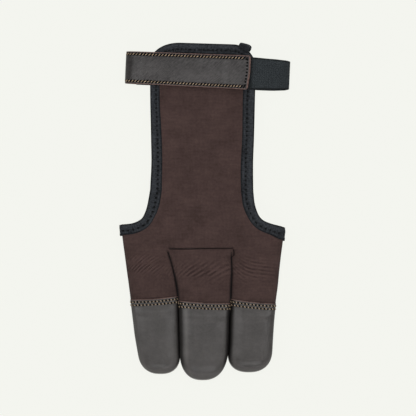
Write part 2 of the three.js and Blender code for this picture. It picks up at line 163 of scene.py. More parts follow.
# Heights of the hand's cloth. along is a share of LENGTH, top and bottom are shares of HAND_HEIGHT.
HAND_HEIGHTS = rows(
    "along top bottom",
    (0.330, 0.770, 0.000),
    (0.360, 0.880, 0.000),
    (0.385, 0.965, 0.040),
    (0.398, 0.980, 0.074),
    (0.425, 1.000, 0.073),
    (0.470, 1.000, 0.073),
    (0.530, 0.930, 0.073),
    (0.610, 0.830, 0.073),
    (0.700, 0.790, 0.073),
    (0.820, 0.820, 0.073),
    (0.900, 0.845, 0.073),
    (1.100, 0.840, 0.073),
)

# Heights of the fingers. along is a share of WING, top is a share of STALL_HEIGHT.
STALL_HEIGHTS = rows(
    "along top",
    (0.00, 0.90),
    (0.20, 0.97),
    (0.35, 0.97),
    (0.52, 0.90),
    (0.62, 0.87),
    (0.72, 0.86),
    (0.79, 0.84),
    (0.88, 0.74),
)

# Fingers. tip and the edges of the leather are shares of WING, blunt is the tip's length over its half width, lift
# scales the height, and the powers are those of the section's left and right shoulders. The two triples after them
# give the painted shade beside the left and right folds: how dark, and where the dark starts and ends to fade, in mm
# from the fold. Next comes how much painted highlight lightens the leather towards the tip; then fall, the shares of
# its height between which a painted shade dulls the tip, and how dark; and last a painted highlight down its left
# side: how much lighter, how far from the fold and how wide, in mm.
FINGERS = {
    "index": dict(
        strip=0, tip=0.04, blunt=0.95, edge_left=0.524, edge_right=0.545, lift=0.985, power_left=3.0, power_right=2.3,
        painted_shade_left=(0.4, 0.0, 1.4), painted_shade_right=(0.95, 0.3, 2.4), painted_highlight=0.08,
        fall=(0.82, 0.9, 0.15), painted_streak=(0.3, 2.2, 1.1),
    ),
    "middle": dict(
        strip=1, tip=0.0, blunt=1.25, edge_left=0.517, edge_right=0.5, lift=1.015, power_left=3.0, power_right=3.2,
        painted_shade_left=(0.6, 1.4, 3.0), painted_shade_right=(0.72, 0.8, 2.6), painted_highlight=0.15,
        fall=(0.71, 0.95, 0.36), painted_streak=(0.36, 4.3, 1.1),
    ),
    "ring": dict(
        strip=2, tip=0.051, blunt=0.96, edge_left=0.528, edge_right=0.498, lift=0.985, power_left=2.3, power_right=3.0,
        painted_shade_left=(0.92, 0.8, 3.7), painted_shade_right=(0.3, 0.2, 1.8), painted_highlight=0.06,
        fall=(0.77, 0.9, 0.18), painted_streak=(0.0, 3.0, 1.0),
    ),
}

# Waist of the back panel. along is a share of the way from the wings to the wrist edge, the rest are shares of PANEL.
PANEL_SIDES = rows(
    "along left right",
    (0.13, 1.004, 0.972),
    (0.22, 0.995, 0.966),
    (0.35, 0.976, 0.964),
    (0.47, 0.984, 0.980),
    (0.70, 1.003, 1.000),
    (0.83, 1.006, 1.012),
    (1.00, 1.006, 1.012),
)

# The scoop between panel and wing. out runs from the panel's side to the wing's end, and left and right are heights
# over the wing as shares of SCOOP_HEIGHT.
SCOOP = rows(
    "out left right",
    (1.00, 0.00, 0.00),
    (0.92, 0.02, 0.04),
    (0.80, 0.03, 0.09),
    (0.66, 0.05, 0.14),
    (0.52, 0.10, 0.20),
    (0.40, 0.17, 0.26),
    (0.31, 0.24, 0.33),
    (0.24, 0.34, 0.41),
    (0.18, 0.49, 0.52),
    (0.12, 0.68, 0.68),
    (0.07, 0.91, 0.86),
    (0.03, 1.23, 1.07),
    (0.00, 1.50, 1.50),
)

# Distances between the cloth's rows, from each y along the hand on.
ROW_PACE = rows(
    "along pace",
    (0.0, 0.8), (56.0, 0.5), (79.0, 0.25), (82.0, 0.5), (84.0, 0.8), (93.6, 0.14),
    (96.4, 0.35), (103.0, 1.1), (193.0, 0.5), (202.0, 0.25), (204.2, 0.1),
)

# Section of the folded tape. depth runs from the cloth's edge into the cloth, out is the height over its middle.
TAPE_SECTION = rows(
    "depth out",
    (5.6, 0.95),
    (5.7, 1.2),
    (5.4, 1.45),
    (4.6, 1.6),
    (3.15, 1.46),
    (2.2, 1.68),
    (1.2, 1.74),
    (0.0, 1.5),
    (-0.6, 1.05),
    (-0.88, 0.4),
    (-0.88, -0.4),
    (-0.6, -1.05),
    (0.0, -1.5),
    (1.2, -1.62),
    (3.4, -1.55),
    (4.9, -1.5),
    (5.1, -1.25),
    (5.0, -0.95),
)

# Strap. up and out are as in the solids' own tables: shares of the fold's height and of the loop's half width.
STRAP_REACH = 188.8
STRAP_TILT = math.radians(-2.6)
LOOP_LEFT = 47.0
LOOP_RIGHT = 53.43
TAB_WIDTH = 20.8
TAB_NARROW = 19.6
TAB_THICK = 2.0
TAB_CORNER = 1.6
TAB_END = 29.1
END_SLANT = 1.0
TAB_RETURN = 15.0
ELASTIC_WIDTH = 19.6
ELASTIC_THICK = 1.4
ELASTIC_SHIFT = -0.35
ELASTIC_FOLD = rows(
    "out up width",
    (0.72, 0.97, 0.965),
    (0.85, 0.8, 0.94),
    (0.945, 0.55, 0.905),
    (0.985, 0.3, 0.875),
    (0.955, 0.1, 0.93),
    (0.89, 0.014, 0.96),
    (0.81, 0.0, 0.99),
)
TAB_FOLD = rows(
    "out up", (0.78, 0.0), (0.87, 0.014), (0.945, 0.1), (0.978, 0.32), (0.965, 0.6), (0.9, 0.83), (0.8, 0.95)
)

def linear(code):
    """A colour in linear light from its six-figure sRGB code."""
    parts = [int(code[i : i + 2], 16) / 255 for i in (0, 2, 4)]
    return tuple(c / 12.92 if c <= 0.04045 else ((c + 0.055) / 1.055) ** 2.4 for c in parts)


def times(gain, color):
    """A colour, brighter or darker by gain."""
    return tuple(gain * c for c in color)


# ---- curves


def step(low, high, value):
    """0 below low, 1 above high, and the smooth cubic 3t2 - 2t3 between them."""
    t = np.clip((value - low) / (high - low), 0.0, 1.0)
    return t * t * (3 - 2 * t)


def between(rise, fall, value):
    """A smooth rise from 0 to 1 over the first pair of numbers, and a smooth fall back to 0 over the second."""
    return step(*rise, value) * (1 - step(*fall, value))


def bell(value, middle, width):
    """The normal curve: 1 at the middle, and 0.37 a width away from it."""
    return np.exp(-(((value - middle) / width) ** 2))


def quarter(share):
    """How far a quarter circle of radius 1 has dropped at a share of the way across it."""
    return 1 - np.sqrt(1 - share**2)


def cubic(t, a, b, p, q):
    """The cubic from a to b with the slopes p and q at its ends, for t from 0 to 1."""
    return a + t * (p + t * (3 * (b - a) - 2 * p - q + t * (2 * (a - b) + p + q)))


def column(table, name, along):
    """A smooth curve through a column: cubics between the rows, each row's slope being its neighbours' chord."""
    x, y = table["along"], table[name]
    slope = np.gradient(y, x)
    along = np.clip(along, x[0], x[-1])
    i = np.clip(np.searchsorted(x, along, side="right") - 1, 0, len(x) - 2)
    h = x[i + 1] - x[i]
    return cubic((along - x[i]) / h, y[i], y[i + 1], slope[i] * h, slope[i + 1] * h)


def shoulder(across, left, right):
    """Height of a superellipse over its middle, 1 at across 0 and 0 at -1 and 1, with a power of its own on either
    side: a low power slopes early, a high one stays flat to its edge."""
    power = np.where(across < 0, left, right)
    return np.maximum(0.0, 1 - np.abs(across) ** power) ** (1 / power)


def arch(across):
    """A shoulder of the same power, FLATNESS, on both sides."""
    return np.maximum(0.0, 1 - np.abs(across) ** FLATNESS) ** (1 / FLATNESS)


def run_length(points, power=1.0):
    """Sum of the steps' lengths, each to some power, up to each point of a line."""
    return np.concatenate([[0], np.cumsum(np.linalg.norm(np.diff(points, axis=0), axis=1) ** power)])


def look_up(places, far, values):
    """Each column of values at the places, far being the place of each row."""
    return np.stack([np.interp(places, far, values[:, k]) for k in range(values.shape[1])], -1)


def unit(vectors):
    """The vectors, drawn to length 1."""
    return vectors / np.maximum(np.linalg.norm(vectors, axis=1), 1e-6)[:, None]


def relax(loop, times):
    """A closed row of points or vectors, smoothed by the weights 1, 2 and 1."""
    for _ in range(times):
        loop = (np.roll(loop, 1, 0) + 2 * loop + np.roll(loop, -1, 0)) / 4
    return loop


def join(*parts):
    """Arrays whose shapes fit, as the coordinates of one grid."""
    return np.stack(np.broadcast_arrays(*parts), -1)


# ---- the hand's shapes


def side_line(number, y):
    """x of one of the four lines beside the fingers, from 0 on the left to 3 on the right."""
    return column(SIDE_LINES, SIDE_LINES.dtype.names[1 + number], y / WING) * HALF


def side_edge(y, side):
    """x of the cloth's edge: the hand's side line up to the wing, then the scoop, the waist and the wrist's corner."""
    name, number, (wide, high) = ("left", 0, LEFT_CORNER) if side < 0 else ("right", 3, RIGHT_CORNER)
    waist = column(PANEL_SIDES, name, (y - WING) / (LENGTH - WING)) * PANEL
    out = np.interp((y - WING) / SCOOP_HEIGHT, SCOOP[name], SCOOP["out"])
    panel = waist + (WING_END * HALF - waist) * out - wide * quarter(np.clip((y - (LENGTH - high)) / high, 0, 1))
    return side * np.where(y <= WING, np.abs(side_line(number, y)), panel)


def strip_edges(y):
    """x of the four lines that part the three finger strips, for each y."""
    return np.stack([side_edge(y, -1), side_line(1, y), side_line(2, y), side_edge(y, 1)])


def lean_y(x, y):
    """y moved down at the right-hand wing, by WING_DROP, and at the right of the wrist's edge, by WRIST_DROP."""
    wing = WING_DROP * step(-PANEL, PANEL, x) * between((74, 92), (108, 125), y)
    return y - wing - WRIST_DROP * np.clip((x + 14) / 36, 0, 1.2) * step(LENGTH - 22, LENGTH - 3, y)


def hand_height(x, y, side):
    """Height of the hand's bag over its fold, upwards for side 1 and downwards for -1."""
    top, bottom = (column(HAND_HEIGHTS, name, y / LENGTH) * HAND_HEIGHT for name in ("top", "bottom"))
    fold = bottom + FOLD * (top - bottom)
    half = np.where(x < 0, -side_line(0, y), side_line(3, y))
    return fold + arch(x / half) * ((top if side > 0 else bottom) - fold)


def stall_top(finger, y):
    """Height of a finger's back over the table."""
    return column(STALL_HEIGHTS, "top", y / WING) * STALL_HEIGHT * FINGERS[finger]["lift"]


def stall_height(finger, across, y, side, inset):
    """Height of a finger's tube over its fold, inset moving it inwards."""
    spec = FINGERS[finger]
    top = stall_top(finger, y) - inset
    fold = inset + FOLD * (top - inset)
    rise = shoulder(across, spec["power_left"], spec["power_right"]) if side > 0 else arch(across)
    return fold + rise * ((top if side > 0 else inset) - fold)


def leather_edge(finger, x):
    """y of a cap's cut edge at x: a slanting line between the finger's two sides, bowed by EDGE_BOW."""
    spec = FINGERS[finger]
    start, end = spec["edge_left"] * WING, spec["edge_right"] * WING
    left, right = side_line(spec["strip"], start), side_line(spec["strip"] + 1, end)
    t = (x - left) / (right - left)
    return start + t * (end - start) - EDGE_BOW * np.sin(math.pi * np.clip(t, 0, 1))


def insert_top(x):
    """y of the seam across the knuckles: almost straight, rising by a parabola, with a slow wave as sewn."""
    return INSERT_TOP + 0.12 * np.sin(x / 5.5 + 0.8) + 0.0006 * np.maximum(x + 20, 0.0) ** 2


def cloth_rows(low, high):
    """y of the cloth's rows, closer over the knuckles, the wings and the wrist's corners."""
    y = [low]
    while y[-1] < high - 1e-6:
        pace = ROW_PACE["pace"][np.searchsorted(ROW_PACE["along"], y[-1], side="right") - 1]
        y.append(min(y[-1] + pace, high))
    return np.array(y)


def wrinkles(x, y, sine, power):
    """Heights of the fine wrinkles over the finger roots, for arrays or shader values: three families of parallel
    waves, each in a soft oval. Two slant up to the right, and the third sweeps down from the left and flattens."""

    def oval(middle_x, middle_y, reach_x, reach_y):
        dx, dy = (x - middle_x) / reach_x, (y - middle_y) / reach_y
        return power(math.e, (dx * dx + dy * dy) * -1.0)

    bend = sine(x / 4.1 + 1.3) * 0.45 + sine(y / 5.0 + x / 9.0) * 0.4
    first = sine((x * -0.64 + y * 0.77 + bend) * (2 * math.pi / 1.7)) * oval(-35.5, 70.0, 9.5, 5.0) * 1.1
    second = sine((x * -0.6 + y * 0.8 + x * x * 0.011 + bend) * (2 * math.pi / 2.5)) * oval(0.5, 66.9, 18.0, 4.2) * 1.1
    sweep = power(math.e, (x - 22.0) / -8.5) * -6.5
    third = sine((y + sweep + bend * 0.7) * (2 * math.pi / 2.2)) * oval(31.0, 67.5, 11.0, 6.0) * 0.85
    return first + second + third


def relief(x, y):
    """Slow waves of the lying cloth, and the wrinkles where the fingers part."""
    slow = 0.2 * np.sin(x / 9.1 + 0.4) * np.sin(y / 13.7 + 1.1) + 0.14 * np.sin(x / 5.3 - y / 17.0)
    return slow * between((84, 100), (190, 202), y) + 0.2 * wrinkles(x, y, np.sin, np.power)


def strip_sheet(finger, y, side):
    """Points of one finger strip's top or underside, its map, and its painted shade: in the seams, down the
    gaps between the fingers and just past the leather's cut edge.

    Across it x runs from edge to edge by a sine, which crowds the columns at the folds. Below the crotch the height is
    the finger's tube, above the knuckles the hand's bag, and blended between. Inside the leather the cloth is tucked
    in by TUCK. The seams beside and above the insert are grooves with the section of a normal curve."""
    strip = FINGERS[finger]["strip"]
    across = np.sin((np.arange(CLOTH_COLUMNS + 1) / CLOTH_COLUMNS - 0.5) * math.pi)[None, :]
    edges = strip_edges(y)[:, :, None]
    parted = SLIT * (1 - step(CROTCH - 1.5, CROTCH, y))[:, None]
    low = edges[strip] + (parted if strip > 0 else 0)
    high = edges[strip + 1] - (parted if strip < 2 else 0)
    middle, half = (low + high) / 2, (high - low) / 2
    yy = np.broadcast_to(y[:, None], (len(y), CLOTH_COLUMNS + 1))
    tuck = TUCK * (1 - step(-1.6, -0.2, yy - leather_edge(finger, middle + across * half)))
    x = middle + across * (half - tuck)
    merged = step(CROTCH, 81.0, yy)
    inset = tuck if side > 0 else tuck * (1 + SOLE / TUCK)
    z = (1 - merged) * stall_height(finger, across, yy, side, inset) + merged * hand_height(x, yy, side)
    shade = np.zeros_like(z)
    if side > 0:
        outer = np.minimum(x - edges[0], edges[3] - x)
        free = np.maximum(step(0.0, 3.0, outer), step(WING + 0.5, WING + 6, yy))
        z = z + relief(x, yy) * arch(across * (1 - merged)) * free * step(50, 58, yy)
        reach = step(56, 62, yy)
        wide = 0.75 - 0.33 * step(60, 70, yy)
        # Each seam: its line, how far beside it the seam runs, where it ends, and its groove's depth. Each gets painted
        # shade along its line, down the gap between the fingers too; the last is painted shade only, with no groove.
        hook = 1.5 * step(74.8, 76.6, yy) - 0.5 * step(78.6, 80.4, yy)
        seams = (
            (1, 0.0, 1 - step(78.0, 78.8, yy), SEAM_DEPTH),
            (2, hook, 1 - step(INSERT_TOP - 0.6, INSERT_TOP + 0.6, yy), SEAM_DEPTH),
            (2, 0.0, 0.6 * (1 - step(78.2, 79.2, yy)), 0.0),
        )
        for line, aside, ends, deep in seams:
            away = x - edges[line] - aside
            shade = np.maximum(shade, bell(away, 0, wide) * ends)
            z = z - deep * bell(away, 0, 0.5) * ends * reach * merged
        inside = step(edges[1] + 0.8, edges[1] + 2.0, x) * (1 - step(edges[2] + 0.2, edges[2] + 1.4, x))
        above = yy - insert_top(x)
        z = z + inside * (0.3 * bell(above, 1.5, 1.0) - SEAM_DEPTH * bell(above, 0, 0.4))
        # Painted shade in the seam over the insert, and a painted shadow on the cloth just past the leather's cut edge.
        shade = np.maximum(shade, 0.85 * inside * bell(above, 0, 0.38))
        shade = np.maximum(shade, 0.5 * bell(yy - leather_edge(finger, x), 0.3, 0.5))
    else:
        z = np.maximum(z, 0.0)
    return np.stack([x, lean_y(x, yy), z], -1), np.stack([x, yy], -1), shade


def palm_warp(sheet):
    """Pulls the palm's last rows down to its dipping edge, by PALM_DIP in the middle and nothing at the folds."""
    points = sheet[0]
    across = points[..., 0] / (WING_END * HALF)
    points[..., 1] -= PALM_DIP * (1 - across**2) * step(74, WING, points[..., 1])
    return sheet


# ---- meshes


def grid_faces(count, wide, flip=False):
    """Quads of a grid whose vertex in row r and column c is number r * wide + c."""
    r, c = np.meshgrid(np.arange(count - 1), np.arange(wide - 1), indexing="ij")
    start = (r * wide + c).ravel()
    quads = np.stack([start, start + 1, start + wide + 1, start + wide], -1)
    return quads[:, ::-1] if flip else quads


def add_mesh(name, points, faces, look, weld, plane=None, shade=None):
    """A smooth mesh in the scene, from points of the hand's frame, with those within weld of each other merged. plane
    becomes the UV map, and shade, how dark the piece is painted, an attribute: painted shade in seams, gaps and folds,
    and below 0 painted highlight."""
    mesh = bpy.data.meshes.new(name)
    mesh.from_pydata(((points + PLACE) * MM).tolist(), [], faces.tolist())
    if plane is not None:
        layer = mesh.uv_layers.new(name="Surface")
        layer.data.foreach_set("uv", plane[faces.ravel()].astype(np.float32).ravel())
        mesh.attributes.new("Shade", "FLOAT", "POINT").data.foreach_set("value", shade.astype(np.float32))
    work = bmesh.new()
    work.from_mesh(mesh)
    bmesh.ops.remove_doubles(work, verts=work.verts, dist=weld * MM)
    work.to_mesh(mesh)
    work.free()
    mesh.polygons.foreach_set("use_smooth", np.ones(len(mesh.polygons), dtype=bool))
    mesh.materials.append(look)
    piece = bpy.data.objects.new(name, mesh)
    bpy.context.scene.collection.objects.link(piece)
    return piece


def make(name, sheets, look):
    """A welded mesh from grids. Each sheet is (points, flip, map) or (points, flip, map, shade), with arrays of rows by
    columns."""
    points, faces, plane, shade, start = [], [], [], [], 0
    for grid, flip, flat, *dark in sheets:
        count, wide = grid.shape[:2]
        points.append(grid.reshape(-1, 3))
        faces.append(grid_faces(count, wide, flip) + start)
        plane.append(flat.reshape(-1, 2))
        shade.append(dark[0].ravel() if dark else np.zeros(count * wide))
        start += count * wide
    points, faces, plane, shade = (np.concatenate(part) for part in (points, faces, plane, shade))
    return add_mesh(name, points, faces, look, SHEET_WELD, plane, shade)


def thicken(piece, thickness, even=True):
    """Gives the piece a wall of that thickness in millimetres under its outer surface, even round its bends or not."""
    wall = piece.modifiers.new("Wall", "SOLIDIFY")
    wall.thickness, wall.offset, wall.use_rim, wall.use_quality_normals = thickness * MM, -1, True, even
    return piece


def mount(piece, slot, *nodes):
    """The piece rides on the glove's only body and stands for the named solids."""
    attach(piece, "root")
    if nodes:
        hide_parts(*nodes)
    return piece


# ---- fingertips


def cap_sizes(finger):
    """y of a cap's tip, mean y of its cut edge, and the lengths of its round and its straight part."""
    spec = FINGERS[finger]
    tip = spec["tip"] * WING
    edge = (spec["edge_left"] + spec["edge_right"]) / 2 * WING
    width = side_line(spec["strip"] + 1, tip) - side_line(spec["strip"], tip) + 2 * CAP_PROUD
    blunt = spec["blunt"] * width / 2
    return tip, edge, blunt, edge - tip - blunt


def cap_length(finger):
    """Length of a cap from its cut edge to its tip, along the surface."""
    _, _, blunt, straight = cap_sizes(finger)
    return straight + blunt * math.pi / 2


def cap_points(finger, turn, back):
    """Points of a leather cap. turn runs once round the finger, 0 to 1 over the top from left to right and on to 2
    under it. back is 0 at the cut edge and 1 at the tip, and the rows crowd towards the tip by a sine. The half width
    and the height shrink to the tip as a superellipse of power TIP_POWER. Two soft grooves run under the stitches."""
    spec = FINGERS[finger]
    over = turn <= 1
    across = -np.cos(math.pi * turn)
    tip, edge, blunt, straight = cap_sizes(finger)
    run = back * (straight + blunt * math.pi / 2)
    bend = np.clip((run - straight) / (blunt * math.pi / 2), 0, 1)
    y = np.where(run < straight, edge - run, tip + blunt * (1 - np.sin(bend * math.pi / 2)))
    reach = np.maximum(y - tip, 0.0)
    share = lambda length: (1 - (1 - np.clip(reach / length, 0, 1)) ** TIP_POWER) ** (1 / TIP_POWER)
    left, right = side_line(spec["strip"], y), side_line(spec["strip"] + 1, y)
    x = (left + right) / 2 + across * ((right - left) / 2 + CAP_PROUD) * share(blunt)
    top = stall_top(finger, y)
    fold = FOLD * top
    deep = share(blunt * TIP_DEPTH)
    rise = shoulder(across, spec["power_left"], spec["power_right"]) * deep
    z = np.where(over, fold + rise * (top - fold), fold - arch(across) * deep * (fold - SOLE))
    y = y + (leather_edge(finger, x) - edge) * (1 - step(0.0, 0.6, back))
    swell = 0.35 * bell(run, 7.5, 2.6) - 0.25 * (bell(run, 1.6, 0.6) + bell(run, 3.5, 0.6))
    return np.stack([x, y, z + np.where(over, rise * swell, 0.0)], -1)


def ring_length(finger, turns):
    """Distance round a cap's cut edge at each of the turns."""
    return run_length(cap_points(finger, turns, np.full_like(turns, 0.04)))


def fold_shade(finger, turn, back):
    """How dark the leather is painted, for each row and column of a cap: painted shade, darkest at its folds and fading
    smoothly over the distances that the finger's own numbers give. Round the tip a painted shade dulls it where it
    starts to fall off, and lower down it is below 0, painted highlight; it is painted highlight too over the top
    towards the tip and in a streak down the left side; and under -1 along the line of its fold."""
    spec = FINGERS[finger]
    across = -np.cos(math.pi * turn)
    sides = cap_points(finger, np.array([0.0, 1.0]), np.array([0.5, 0.5]))[:, 0]
    depth = (1 - np.abs(across)) * (sides[1] - sides[0]) / 2
    amount, near, far = (np.where(across < 0, a, b) for a, b in zip(spec["painted_shade_left"], spec["painted_shade_right"]))
    # Painted shade beside the folds, fading towards the tip.
    dark = (amount * (1 - step(near, far, depth)))[None, :] * (1 - 0.7 * step(0.72, 0.95, back))[:, None]
    height = cap_points(finger, turn[None, :], back[:, None])[..., 2]
    height = height / height.max()
    rise = np.clip((height - FOLD) / (1 - FOLD), 0, 1)
    under = 1 - step(0.0, 0.6, (FOLD - height) / FOLD)
    tip = step(0.6, 0.86, back)[:, None]
    # Round the tip: a painted shade where it starts to fall off and a painted highlight lower down.
    start, end, tip_shade_amount = spec["fall"]
    tip_painted_shade = tip_shade_amount * between((start - 0.02, start + 0.06), (end - 0.07, end + 0.02), rise)
    painted_highlight = 0.5 * between((start - 0.3, start - 0.2), (start - 0.06, start + 0.04), rise) - tip_painted_shade
    # A painted highlight over the top towards the tip.
    painted_light_and_darkening = spec["painted_highlight"] * step(0.42, 0.6, back)[:, None] * ((turn <= 1) * step(0.0, 4.5, depth))[None, :]
    line = 2.0 * (1 - step(0.03, 0.17, np.abs(height - FOLD - 0.03)))
    # A painted highlight down the left side.
    bright, middle, wide = spec["painted_streak"]
    painted_streak = bright * bell(depth, middle, wide) * (across < 0) * (turn <= 1) * (1 - 0.5 * tip)
    return dark * (1 - tip * step(0.02, 0.4, 1 - rise)) - painted_light_and_darkening - painted_streak - tip * (painted_highlight * under + line)


# ---- binding


def edge_path():
    """The cloth's edge as a closed loop about 0.5 mm apart: its points, the directions along it, into the cloth and out
    of the cloth's face, and how far along each point lies.

    It runs over the wrist from right to left, down the left side to the wing, round the fold, back across the palm,
    and up the right side. On the back it lies half a wall under the cloth's top, on the palm half a wall over it."""
    fine = np.concatenate(
        [
            np.linspace(WING, WING + 3, 40),
            np.linspace(WING + 3.1, LENGTH - 1.5, 260),
            LENGTH - 1.5 * (1 - np.sin(np.linspace(0.05, math.pi / 2, 24))),
        ]
    )
    on_back = lambda x, y: np.stack([x, lean_y(x, y), hand_height(x, y, 1) - HALF_WALL], -1)
    left, right = (on_back(side_edge(fine, side), fine) for side in (-1, 1))
    wrist = np.linspace(right[-1, 0], left[-1, 0], 80)[1:-1]
    wrist = on_back(wrist, np.full_like(wrist, LENGTH))
    x = -WING_END * HALF * np.cos(np.linspace(0.0, math.pi, 150))[1:-1]
    y = np.full_like(x, WING)
    dip = PALM_DIP * (1 - (x / (WING_END * HALF)) ** 2)
    palm = np.stack([x, lean_y(x, y) - dip, hand_height(x, y, -1) + HALF_WALL], -1)
    loop = np.concatenate([wrist, left[::-1], palm, right, wrist[:1]])
    palm_share = np.repeat([0.0, 1.0, 0.0], [len(wrist) + len(left), len(palm), len(right) + 1])
    far = run_length(loop)
    even = np.linspace(0, far[-1], int(far[-1] / 0.5) + 1)[:-1]
    palm_share = np.interp(even, far, palm_share)
    loop = relax(look_up(even, far, loop), 3)
    along = unit(np.roll(loop, -2, 0) - np.roll(loop, 2, 0))
    # Across the palm the loop runs the other way as seen from above, so there the direction inwards is reversed.
    sign = np.where(palm_share > 0.5, -1.0, 1.0)[:, None]
    inward = unit(np.stack([-along[:, 1], along[:, 0], np.zeros(len(along))], -1) * sign)
    wing = wing_tip(loop, 0.84, 0.93)[:, None]
    inward = relax(inward * (1 - wing) + np.array([0, -1.0, 0]) * wing, 4)
    inward = unit(inward - (inward * along).sum(1)[:, None] * along)
    return loop, along, inward, np.cross(along, inward), np.arange(len(loop)) * far[-1] / len(loop)


def wing_tip(loop, start, end):
    """0 along the edge and 1 at the wings' tips, start and end being shares of the wings' reach."""
    return step(start, end, np.abs(loop[:, 0]) / (WING_END * HALF)) * (loop[:, 1] < WING + 4)


def tape_spread(x, y):
    """How much wider than its section the tape lies on the panel: by 0.14 down the right side, and down the left side
    by 0.1 less at the wrist and 0.13 more near the wing."""
    left = np.interp(y, (115.0, 143.0, 167.0), (0.13, 0.0, -0.1))
    sides = 0.14 * step(PANEL - 8, PANEL - 2, x) + left * step(PANEL - 8, PANEL - 2, -x)
    return step(WING + 4, WING + 16, y) * sides


def tape_surface(path, section):
    """The tape's section carried along the edge, with a slight pucker at each stitch, and its map. At the wings' tips
    it stays within TIP_REACH of the middle line, less a slope towards the fingers, so that its end is flat."""
    loop, _, inward, upward, far = path
    depth, out = section["depth"], section["out"]
    pucker = 0.07 * np.cos(2 * math.pi * far / 2.5)[:, None] * bell(depth, STITCH_DEPTH, 1.2)[None, :]
    sway = 0.12 * np.sin(far / 7.0)[:, None] * (depth > 4)[None, :]
    tip = wing_tip(loop, 0.84, 0.98)
    wide = tip * np.where(loop[:, 0] < 0, 0.0, 0.2) + tape_spread(loop[:, 0], loop[:, 1])
    d = (depth[None, :] + sway) * (1 + wide)[:, None]
    o = out[None, :] + np.sign(out)[None, :] * pucker * (1 - tip)[:, None]
    grid = loop[:, None, :] + d[..., None] * inward[:, None, :] + o[..., None] * upward[:, None, :]
    reach = TIP_REACH - 0.09 * np.maximum(0.0, WING - 1 - grid[..., 1])
    grid[..., 0] = np.clip(grid[..., 0], -reach, reach)
    uv = join(far[:, None], run_length(np.stack([depth, out], -1))[None, :])
    return np.concatenate([grid, grid[:1]]), np.concatenate([uv, uv[:1] + [[[far[-1] + 0.5, 0]]]])


# ---- strap

# Heights over the table where the strap crosses the panel: of the panel, the tape, and the middles of the elastic and
# the tab, which rises from the tape to the elastic. Then x of the elastic's sewn end and of the tab's hidden end.
PANEL_TOP = float(column(HAND_HEIGHTS, "top", np.array([STRAP_REACH / LENGTH]))[0] * HAND_HEIGHT)
TAPE_TOP = PANEL_TOP + TAPE_PROUD
ELASTIC_FRONT = TAPE_TOP + GAP + ELASTIC_THICK / 2
TAB_LOW = TAPE_TOP + GAP + TAB_THICK / 2
TAB_HIGH = ELASTIC_FRONT + ELASTIC_THICK / 2 + GAP + TAB_THICK / 2
SEWN_END = TAB_END - 12
TAB_BACK = -LOOP_LEFT + TAB_RETURN


def strap_turn(points):
    """Points or directions of the strap's own frame, turned by its tilt."""
    c, s = math.cos(STRAP_TILT), math.sin(STRAP_TILT)
    x, y, z = points[..., 0], points[..., 1], points[..., 2]
    return np.stack([c * x - s * y, s * x + c * y, z], -1)


def strap_place(points):
    """Points of the strap's own frame, turned and moved to their place on the wrist."""
    return strap_turn(points) + np.array([0.0, STRAP_REACH, 0.0])


def smooth_line(places, count):
    """Points along a smooth curve through places, evenly spaced, and how far along each lies: a Catmull-Rom curve over
    the square roots of the chords."""
    p = np.asarray(places, dtype=float)
    knots = run_length(p[:, :2], 0.5)
    slope = np.gradient(p, knots, axis=0)
    u = np.linspace(0, knots[-1], count * 6)
    i = np.clip(np.searchsorted(knots, u, side="right") - 1, 0, len(knots) - 2)
    h = (knots[i + 1] - knots[i])[:, None]
    line = cubic((u - knots[i])[:, None] / h, p[i], p[i + 1], slope[i] * h, slope[i + 1] * h)
    far = run_length(line[:, :2])
    even = np.linspace(0, far[-1], count)
    line = look_up(even, far, line)
    line[:, 1] = np.maximum(line[:, 1], p[:, 1].min())
    return line, even


def elastic_line():
    """Centre line (x, z, width) of the elastic, from its sewn end over the fold and behind the glove to the tab."""
    base = ELASTIC_THICK / 2
    lift = ELASTIC_FRONT - base
    fold = [(r["out"] * LOOP_RIGHT, base + r["up"] * lift, r["width"] * ELASTIC_WIDTH) for r in ELASTIC_FOLD]
    over = TAB_THICK + GAP + base
    flat = lambda z, *places: [(x, z, ELASTIC_WIDTH) for x in places]
    places = [
        *flat(ELASTIC_FRONT, SEWN_END, (SEWN_END + PANEL) / 2, PANEL),
        *fold,
        *flat(base, LOOP_RIGHT * 0.5, 0, TAB_BACK + 6),
        *flat(base + 0.3, TAB_BACK + 4),
        *flat(over, TAB_BACK, TAB_BACK - 4, TAB_BACK - 8),
    ]
    return smooth_line(places, 330)


def tab_line():
    """Centre line (x, z, width) of the leather tab, from behind the glove round the left-hand fold to its free end."""
    back = TAB_THICK / 2
    places = [
        (TAB_BACK, back),
        ((TAB_BACK - LOOP_LEFT * 0.78) / 2, back),
        *((-r["out"] * LOOP_LEFT, back + r["up"] * (TAB_LOW - back)) for r in TAB_FOLD),
        (-PANEL, TAB_LOW),
        (-PANEL / 2, TAB_LOW + 0.1),
        (SEWN_END - 6, (TAB_LOW + TAB_HIGH) / 2),
        (SEWN_END, TAB_HIGH),
        (TAB_END, TAB_HIGH),
    ]
    width = lambda x: TAB_NARROW + (TAB_WIDTH - TAB_NARROW) * (x + LOOP_LEFT) / (TAB_END + LOOP_LEFT)
    return smooth_line([(x, z, width(x)) for x, z in places], 300)


def strip_frame(line):
    """Direction along a strap's centre line and the direction out of its face, in the XZ plane."""
    along = unit(np.gradient(line[:, :2], axis=0))
    return along, np.stack([-along[:, 1], along[:, 0]], -1)


